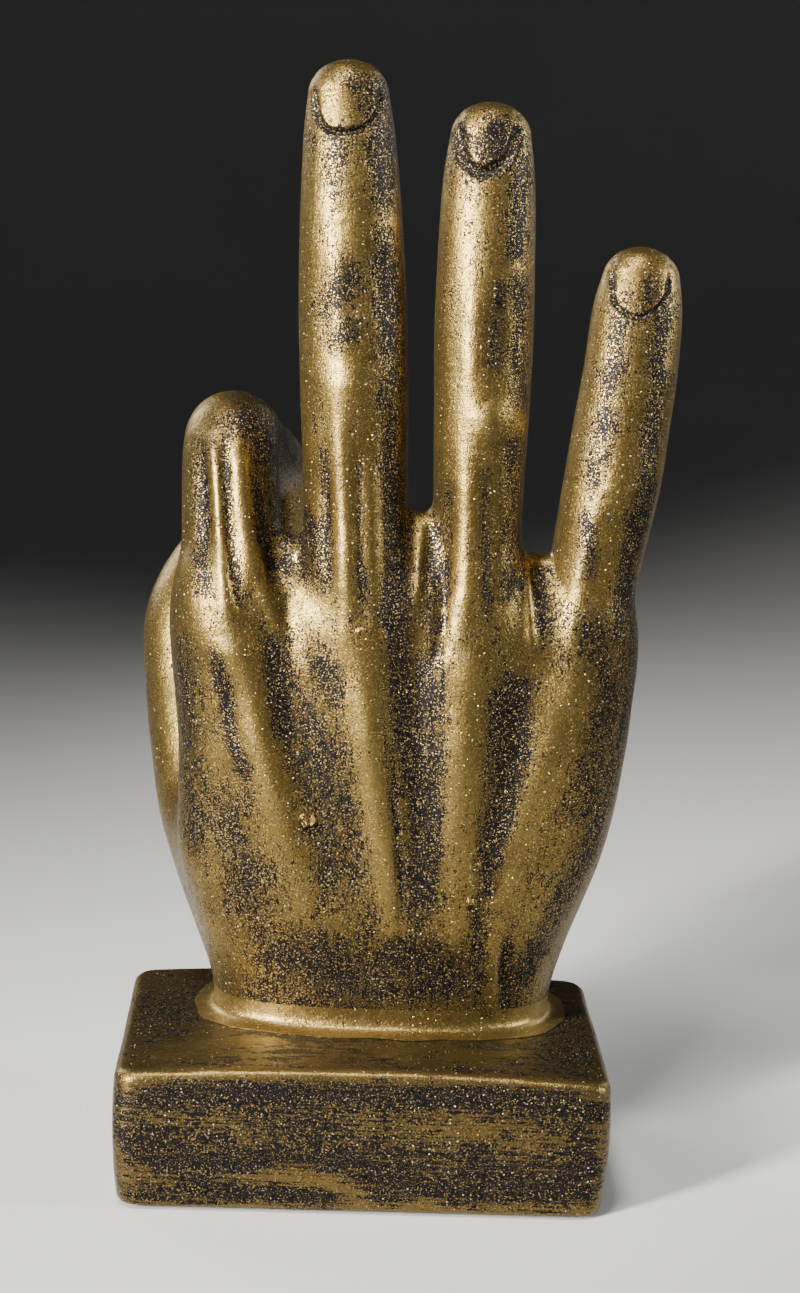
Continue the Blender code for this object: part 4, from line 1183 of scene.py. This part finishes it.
def make_bead(limbs, frames, material):
    """The filler's bead: its hollow section runs out thin on the wrist and on the plinth."""
    profile = []
    for i in range(BEAD_STEPS + 1):
        turn = math.pi / 2 * i / BEAD_STEPS
        rise = (FILLET_LIP / 2 + FILLET_HEIGHT) * (1 - math.cos(turn)) ** BEAD_HOLLOW
        profile.append((rise, (FILLET_LIP + FILLET_SPREAD) * (1 - math.sin(turn)) ** BEAD_HOLLOW))
    profile += [(profile[-1][0], -BEAD_BITE), (-BEAD_BITE, -BEAD_BITE), (-BEAD_BITE, profile[0][1])]
    base = plinth_top(WRIST_X)
    outlines = skin_outlines(limbs, [base + rise for rise, _ in profile], [spread for _, spread in profile])
    bm = bmesh.new()
    rows = []
    for (rise, spread), outline in zip(profile, outlines):
        row = []
        for x, y, _ in outline:
            wave = noise.noise(Vector((x, y, 0.0)) / BEAD_UNEVEN_LENGTH)
            swell = BEAD_UNEVEN * wave * spread / FILLET_SPREAD
            out = unit((x - WRIST_X, y - WRIST_Y)) * swell
            row.append(bm.verts.new((x + out[0], y + out[1], plinth_top(x) + rise)))
        rows.append(row)
    for first, second in zip(rows, rows[1:] + rows[:1]):
        for i in range(len(first)):
            j = (i + 1) % len(first)
            bm.faces.new((first[i], first[j], second[j], second[i]))
    mesh = mesh_from(bm, "wrist_bead")
    mesh.shade_smooth()
    mesh.set_sharp_from_angle(angle=math.radians(BEAD_SHARP))
    bead = make_object("wrist_bead", mesh, material)
    points = read_points(mesh)
    kept = np.maximum(paint(points, PATINA_AND_PAINTED_SHADE, frames), paint(points, PLINTH_PATINA, plinth_frames()))
    store(mesh, "patina_and_painted_shade", kept - BEAD_RUBBED)
    # Painted highlight: the whole bead is stored as a crest, so its gold is brighter all over
    store(mesh, "hollow", np.full(len(mesh.vertices), -BEAD_PAINTED_HIGHLIGHT))
    return bead


def make_plinth(cad_plinth, material):
    """The plinth's own solid with an even fine mesh, and the waves of a hand-worked casting."""
    mesh = remeshed(cad_plinth.data.copy(), "plinth_block", PLINTH_VOXEL, PLINTH_SOFTENING)
    mesh.materials.clear()
    points, normals = read_points(mesh), read_normals(mesh)
    wave = np.array([noise.noise(Vector(point) / PLINTH_WAVE_LENGTH) for point in points])
    depth = PLINTH_WAVE * (0.5 - 0.5 * wave)
    outside = np.clip((points[:, 2] - FELT_PROUD) / PLINTH_FOOT_FADE, 0, 1)
    write_points(mesh, points - normals * (depth * outside)[:, None])
    frames = plinth_frames()
    store(mesh, "patina_and_painted_shade", paint(points, PLINTH_PATINA, frames) - paint(points, PLINTH_RUBBED, frames))
    store(mesh, "hollow", hollowness(mesh))
    mesh.shade_smooth()
    return make_object("plinth_block", mesh, material)


class Shader:
    """Short calls that add nodes to one new material."""

    def __init__(self, name):
        self.material = bpy.data.materials.new(name)
        self.material.use_nodes = True
        self.nodes = self.material.node_tree.nodes
        self.surface = self.nodes["Principled BSDF"]

    def feed(self, socket, value):
        if isinstance(value, bpy.types.NodeSocket):
            self.material.node_tree.links.new(value, socket)
        else:
            socket.default_value = value

    def make(self, kind, inputs, **settings):
        node = self.nodes.new(kind)
        for name, value in settings.items():
            setattr(node, name, value)
        for name, value in inputs.items():
            self.feed(node.inputs[name], value)
        return node

    def place(self, scale):
        """Places on the object in millimetres, stretched by the scale."""
        place = self.make("ShaderNodeTexCoord", {}).outputs["Object"]
        mapping = self.make("ShaderNodeMapping", {"Vector": place, "Scale": [s / MM for s in scale]})
        return mapping.outputs["Vector"]

    def noise(self, place, scale, detail=2.0, roughness=0.5, distortion=0.0):
        inputs = {"Vector": place, "Scale": scale, "Detail": detail}
        inputs |= {"Roughness": roughness, "Distortion": distortion}
        return self.make("ShaderNodeTexNoise", inputs).outputs["Fac"]

    def attribute(self, name):
        return self.make("ShaderNodeAttribute", {}, attribute_name=name).outputs["Fac"]

    def maths(self, operation, first, second, clamp=False):
        node = self.make("ShaderNodeMath", {}, operation=operation, use_clamp=clamp)
        self.feed(node.inputs[0], first)
        self.feed(node.inputs[1], second)
        return node.outputs[0]

    def total(self, *parts):
        """The sum of values, each with its own weight."""
        result = 0.0
        for value, weight in parts:
            result = self.maths("ADD", self.maths("MULTIPLY", value, weight), result)
        return result

    def span(self, value, low, high, start=0.0, end=1.0):
        """The value carried from one span to another, and held at both ends."""
        inputs = {"Value": value, "From Min": low, "From Max": high, "To Min": start, "To Max": end}
        return self.make("ShaderNodeMapRange", inputs, clamp=True).outputs["Result"]

    def blend(self, share, first, second):
        """A mix of two colours, which are the node's inputs 6 and 7 and its output 2."""
        node = self.make("ShaderNodeMix", {}, data_type="RGBA")
        self.feed(node.inputs[0], share)
        self.feed(node.inputs[6], (*first, 1.0) if isinstance(first, tuple) else first)
        self.feed(node.inputs[7], (*second, 1.0) if isinstance(second, tuple) else second)
        return node.outputs[2]

    def bump(self, height, depth, strength=1.0, normal=None):
        inputs = {"Height": height, "Distance": depth * MM, "Strength": strength}
        if normal:
            inputs["Normal"] = normal
        return self.make("ShaderNodeBump", inputs).outputs["Normal"]

    def set(self, **values):
        for name, value in values.items():
            self.feed(self.surface.inputs[name.replace("_", " ")], value)
        return self.material


def antique_gold(name, streak_scale, brushed, blackness, darkening):
    """Gold paint rubbed thinly over a grainy black casting: black stays in its pits, streaks and hollows."""
    shader = Shader(name)
    place = shader.place(EVEN)
    grain = shader.span(shader.noise(place, *GRAIN), *NOISE_SPAN)
    mottle = shader.span(shader.noise(place, *MOTTLE), *NOISE_SPAN)
    streak = shader.span(shader.noise(shader.place(streak_scale), *STREAK), *NOISE_SPAN)
    drift = shader.span(shader.noise(place, *DRIFT), *DRIFT_SPAN, *DRIFT_BLACK)
    cloud = shader.span(shader.noise(place, *CLOUD), *NOISE_SPAN)
    patina_and_painted_shade, hollow = shader.attribute("patina_and_painted_shade"), shader.attribute("hollow")

    level = shader.total((patina_and_painted_shade, PATINA_AND_PAINTED_SHADE_BLACK), (hollow, HOLLOW_BLACK), (drift, 1.0), (blackness, 1.0))
    level = shader.span(level, *BLACK_LIMITS, *BLACK_LIMITS)
    breakup = shader.total((grain, 1.0 - MOTTLE_SHARE - brushed), (mottle, MOTTLE_SHARE), (streak, brushed))
    black = shader.span(shader.maths("SUBTRACT", level, breakup), -DITHER_SOFTNESS, DITHER_SOFTNESS)

    specks = shader.make("ShaderNodeTexVoronoi", {"Vector": place, "Scale": SPECK_SCALE, "Randomness": 1.0})
    lot = shader.make("ShaderNodeSeparateColor", {"Color": specks.outputs["Color"]}).outputs[0]
    size = shader.span(lot, 1.0 - SPECK_SHARE, 1.0, 0.0, SPECK_RADIUS)
    dome = shader.span(shader.maths("SUBTRACT", size, specks.outputs["Distance"]), 0.0, SPECK_RADIUS)
    patches = shader.span(shader.noise(place, *SPECK_PATCHES), *PATCH_SPAN, PATCH_LEAST, 1.0)
    speck = shader.maths("MULTIPLY", shader.span(dome, *SPECK_RIM), patches)

    tone = shader.total(*zip((cloud, mottle, grain), TONE_SHARES))
    gold = shader.blend(tone, GOLD_DARK, GOLD_MID)
    # Lighter gold on crests and rubbed places: partly rubbed wear, partly a painted highlight
    crest = shader.total((hollow, -HOLLOW_LIGHT), (patina_and_painted_shade, -PATINA_LIGHT))
    gold = shader.blend(shader.span(crest, 0.0, 1.0), gold, GOLD_LIGHT)
    # Darker gold: from the given darkening where the patina is rubbed off, to the most where it lies thick
    gold = shader.blend(shader.span(patina_and_painted_shade, -DARKENING_REACH, DARKENING_REACH, darkening, DARKENING_MOST), gold, GOLD_DARKENED)
    dirt = shader.blend(mottle, BLACK_DEEP, BLACK_DUSTY)
    # Painted glints: the peaks of the grain are lightened towards pale gold, as if they caught the light
    painted_grain_glint = shader.span(grain, *PAINTED_GRAIN_GLINT_SPAN, 0.0, PAINTED_GRAIN_GLINT_MOST * (1.0 - PAINTED_GRAIN_GLINT_DARKENED * darkening))
    colour = shader.blend(painted_grain_glint, shader.blend(black, gold, dirt), GOLD_LIGHT)
    # Painted glints: the raised grains get a pale gold and less metal, so they stay bright whatever light
    # reaches them
    cover = SPECK_PAINTED_GLINT * (1.0 - SPECK_PAINTED_GLINT_DARKENED * darkening)
    colour = shader.blend(shader.maths("MULTIPLY", speck, cover), colour, GOLD_PAINTED_GLINT)

    bare = shader.maths("SUBTRACT", black, speck, True)
    metal = shader.total((bare, BLACK_METAL - GOLD_METAL), (speck, -SPECK_DULL), (GOLD_METAL, 1.0))
    rough = shader.total((bare, BLACK_ROUGH - GOLD_ROUGH), (grain, GRAIN_ROUGH))
    rough = shader.total((speck, -SPECK_SMOOTH), (rough, 1.0), (GOLD_ROUGH, 1.0))
    normal = shader.bump(cloud, SWELL_DEPTH)
    normal = shader.bump(streak, STREAK_DEPTH, 1.0, normal)
    normal = shader.bump(shader.total((grain, 1.0), (black, -BLACK_SUNK)), GRAIN_DEPTH, 1.0, normal)
    normal = shader.bump(dome, SPECK_HEIGHT, 1.0, normal)
    shader.set(Base_Color=colour, Metallic=metal, Roughness=rough, Normal=normal)
    return shader.set(Specular_IOR_Level=BLACK_GLOSS)


def felt_material():
    """Pressed black felt: short fibres in every direction, faded where they stand up."""
    shader = Shader("black_felt_pressed")
    fibres = shader.noise(shader.place(EVEN), *FELT_FIBRES)
    patches = shader.noise(shader.place(EVEN), *FELT_PATCHES)
    share = shader.total(*zip((fibres, patches), FELT_SHARES))
    colour = shader.blend(shader.span(share, *FELT_SPAN), *FELT_COLOURS)
    rough = shader.span(fibres, *NOISE_SPAN, *FELT_ROUGH)
    normal = shader.bump(fibres, FELT_DEPTH)
    return shader.set(Base_Color=colour, Roughness=rough, Normal=normal, Sheen_Weight=FELT_SHEEN)


def zinc_material():
    """Zinc plating on steel: a faint yellow and blue cast, fine scratches and dull spots."""
    shader = Shader("zinc_plate_passivated")
    spots = shader.noise(shader.place(EVEN), *ZINC_SPOTS)
    scratches = shader.noise(shader.place(ZINC_BRUSHING), *ZINC_SCRATCHES)
    colour = shader.blend(shader.span(spots, *ZINC_SPAN), *ZINC_COLOURS)
    rough = shader.span(shader.maths("ADD", spots, scratches), *ZINC_DULL_SPAN, *ZINC_ROUGH)
    normal = shader.bump(scratches, ZINC_DEPTH)
    return shader.set(Base_Color=colour, Metallic=1.0, Roughness=rough, Normal=normal)


def floor_material():
    """Pale matt paper with a soft wash of tone."""
    shader = Shader("studio_paper")
    fibre = shader.noise(shader.place(EVEN), *PAPER_FIBRE)
    wash = shader.noise(shader.place(EVEN), *PAPER_WASH)
    colour = shader.blend(shader.span(wash, *NOISE_SPAN), *PAPER_COLOURS)
    rough = shader.span(fibre, *NOISE_SPAN, *PAPER_ROUGH)
    return shader.set(Base_Color=colour, Roughness=rough, Normal=shader.bump(fibre, PAPER_DEPTH))


def make_sweep():
    """A round studio sweep: level under the statue, and curved up into a wall all round."""
    profile = curve_rows(SWEEP_PROFILE, SWEEP_STEPS)
    bm = bmesh.new()
    angles = [2 * math.pi * i / SWEEP_SEGMENTS for i in range(SWEEP_SEGMENTS)]
    rows = []
    for radius, height in profile:
        ring = [(radius * math.cos(angle), radius * math.sin(angle)) for angle in angles]
        rows.append([bm.verts.new((x, y, max(height, 0.0))) for x, y in ring])
    bm.faces.new(rows[0])
    for low, high in zip(rows, rows[1:]):
        for i in range(SWEEP_SEGMENTS):
            j = (i + 1) % SWEEP_SEGMENTS
            bm.faces.new((low[j], low[i], high[i], high[j]))
    mesh = bpy.data.meshes.new("studio_sweep")
    bm.to_mesh(mesh)
    bm.free()
    mesh.shade_smooth()
    make_object("studio_sweep", mesh, floor_material())


def make_lights():
    for name, (place, target, width, height, spread, watts, colour) in LIGHTS.items():
        data = bpy.data.lights.new(name, "AREA")
        data.shape = "RECTANGLE"
        data.size, data.size_y = width, height
        data.energy = watts
        data.color = colour
        light = bpy.data.objects.new(name, data)
        light.location = place
        light.rotation_euler = (Vector(target) - Vector(place)).to_track_quat("-Z", "Y").to_euler()
        light.visible_camera = False
        data.spread = math.radians(spread)
        bpy.context.scene.collection.objects.link(light)


def make_world():
    world = bpy.data.worlds.new("studio")
    world.use_nodes = True
    background = world.node_tree.nodes["Background"]
    background.inputs["Color"].default_value = (*WORLD_COLOUR, 1.0)
    background.inputs["Strength"].default_value = WORLD_STRENGTH
    bpy.context.scene.world = world


def make_camera():
    pitch, yaw, roll = (math.radians(turn) for turn in (CAMERA_PITCH, CAMERA_YAW, CAMERA_ROLL))
    ahead = Vector((math.sin(yaw) * math.cos(pitch), math.cos(yaw) * math.cos(pitch), -math.sin(pitch)))
    level = Vector((math.cos(yaw), -math.sin(yaw), 0.0))
    upright = level.cross(ahead)
    right = level * math.cos(roll) + upright * math.sin(roll)
    up = upright * math.cos(roll) - level * math.sin(roll)
    data = bpy.data.cameras.new("photo_camera")
    data.lens, data.sensor_width = CAMERA_LENS, SENSOR
    camera = bpy.data.objects.new("photo_camera", data)
    turn = Matrix((right, up, -ahead)).transposed().to_4x4()
    camera.matrix_world = Matrix.Translation(CAMERA_PLACE) @ turn
    bpy.context.scene.collection.objects.link(camera)
    bpy.context.scene.camera = camera


def dress(frame):
    """The new pieces over their solids, and finishes on the solids that stay."""
    limbs, frames = hand_limbs(), carving_frames()
    gold = antique_gold("antique_gold_skin", HAND_STREAKS, HAND_BRUSHED, 0.0, 0.0)
    block_gold = antique_gold("antique_gold_block", BLOCK_STREAKS, BLOCK_BRUSHED, BLOCK_BLACK, BLOCK_DARKENING)
    bead_gold = antique_gold("antique_gold_bead", HAND_STREAKS, HAND_BRUSHED, 0.0, 0.0)
    hand = make_hand(limbs, frames, gold)
    plinth = make_plinth(frame["nodes"]["plinth"], block_gold)
    bead = make_bead(limbs, frames, bead_gold)
    for piece, node, slot in (
        (hand, "hand_casting", "antique_gold_resin"),
        (plinth, "plinth", "antique_gold_plinth"),
        (bead, "wrist_fillet", "antique_gold_filler"),
    ):
        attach(piece, "root")
        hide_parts(node)
    steel = zinc_material()
    for name in STEEL_PIECES:
        set_material(frame["nodes"][name], steel)
    set_material(frame["nodes"]["felt_base"], felt_material())


def set_material(obj, material):
    for slot in obj.material_slots:
        slot.material = material


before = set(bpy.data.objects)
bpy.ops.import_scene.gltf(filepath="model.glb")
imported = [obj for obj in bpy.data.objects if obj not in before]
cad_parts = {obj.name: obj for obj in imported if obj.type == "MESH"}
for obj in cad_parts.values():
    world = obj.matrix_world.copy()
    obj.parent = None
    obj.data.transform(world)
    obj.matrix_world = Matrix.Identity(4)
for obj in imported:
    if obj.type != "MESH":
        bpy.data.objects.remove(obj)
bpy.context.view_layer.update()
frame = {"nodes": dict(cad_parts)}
make_camera()
make_world()
make_lights()
make_sweep()
dress(frame)
bpy.context.view_layer.update()
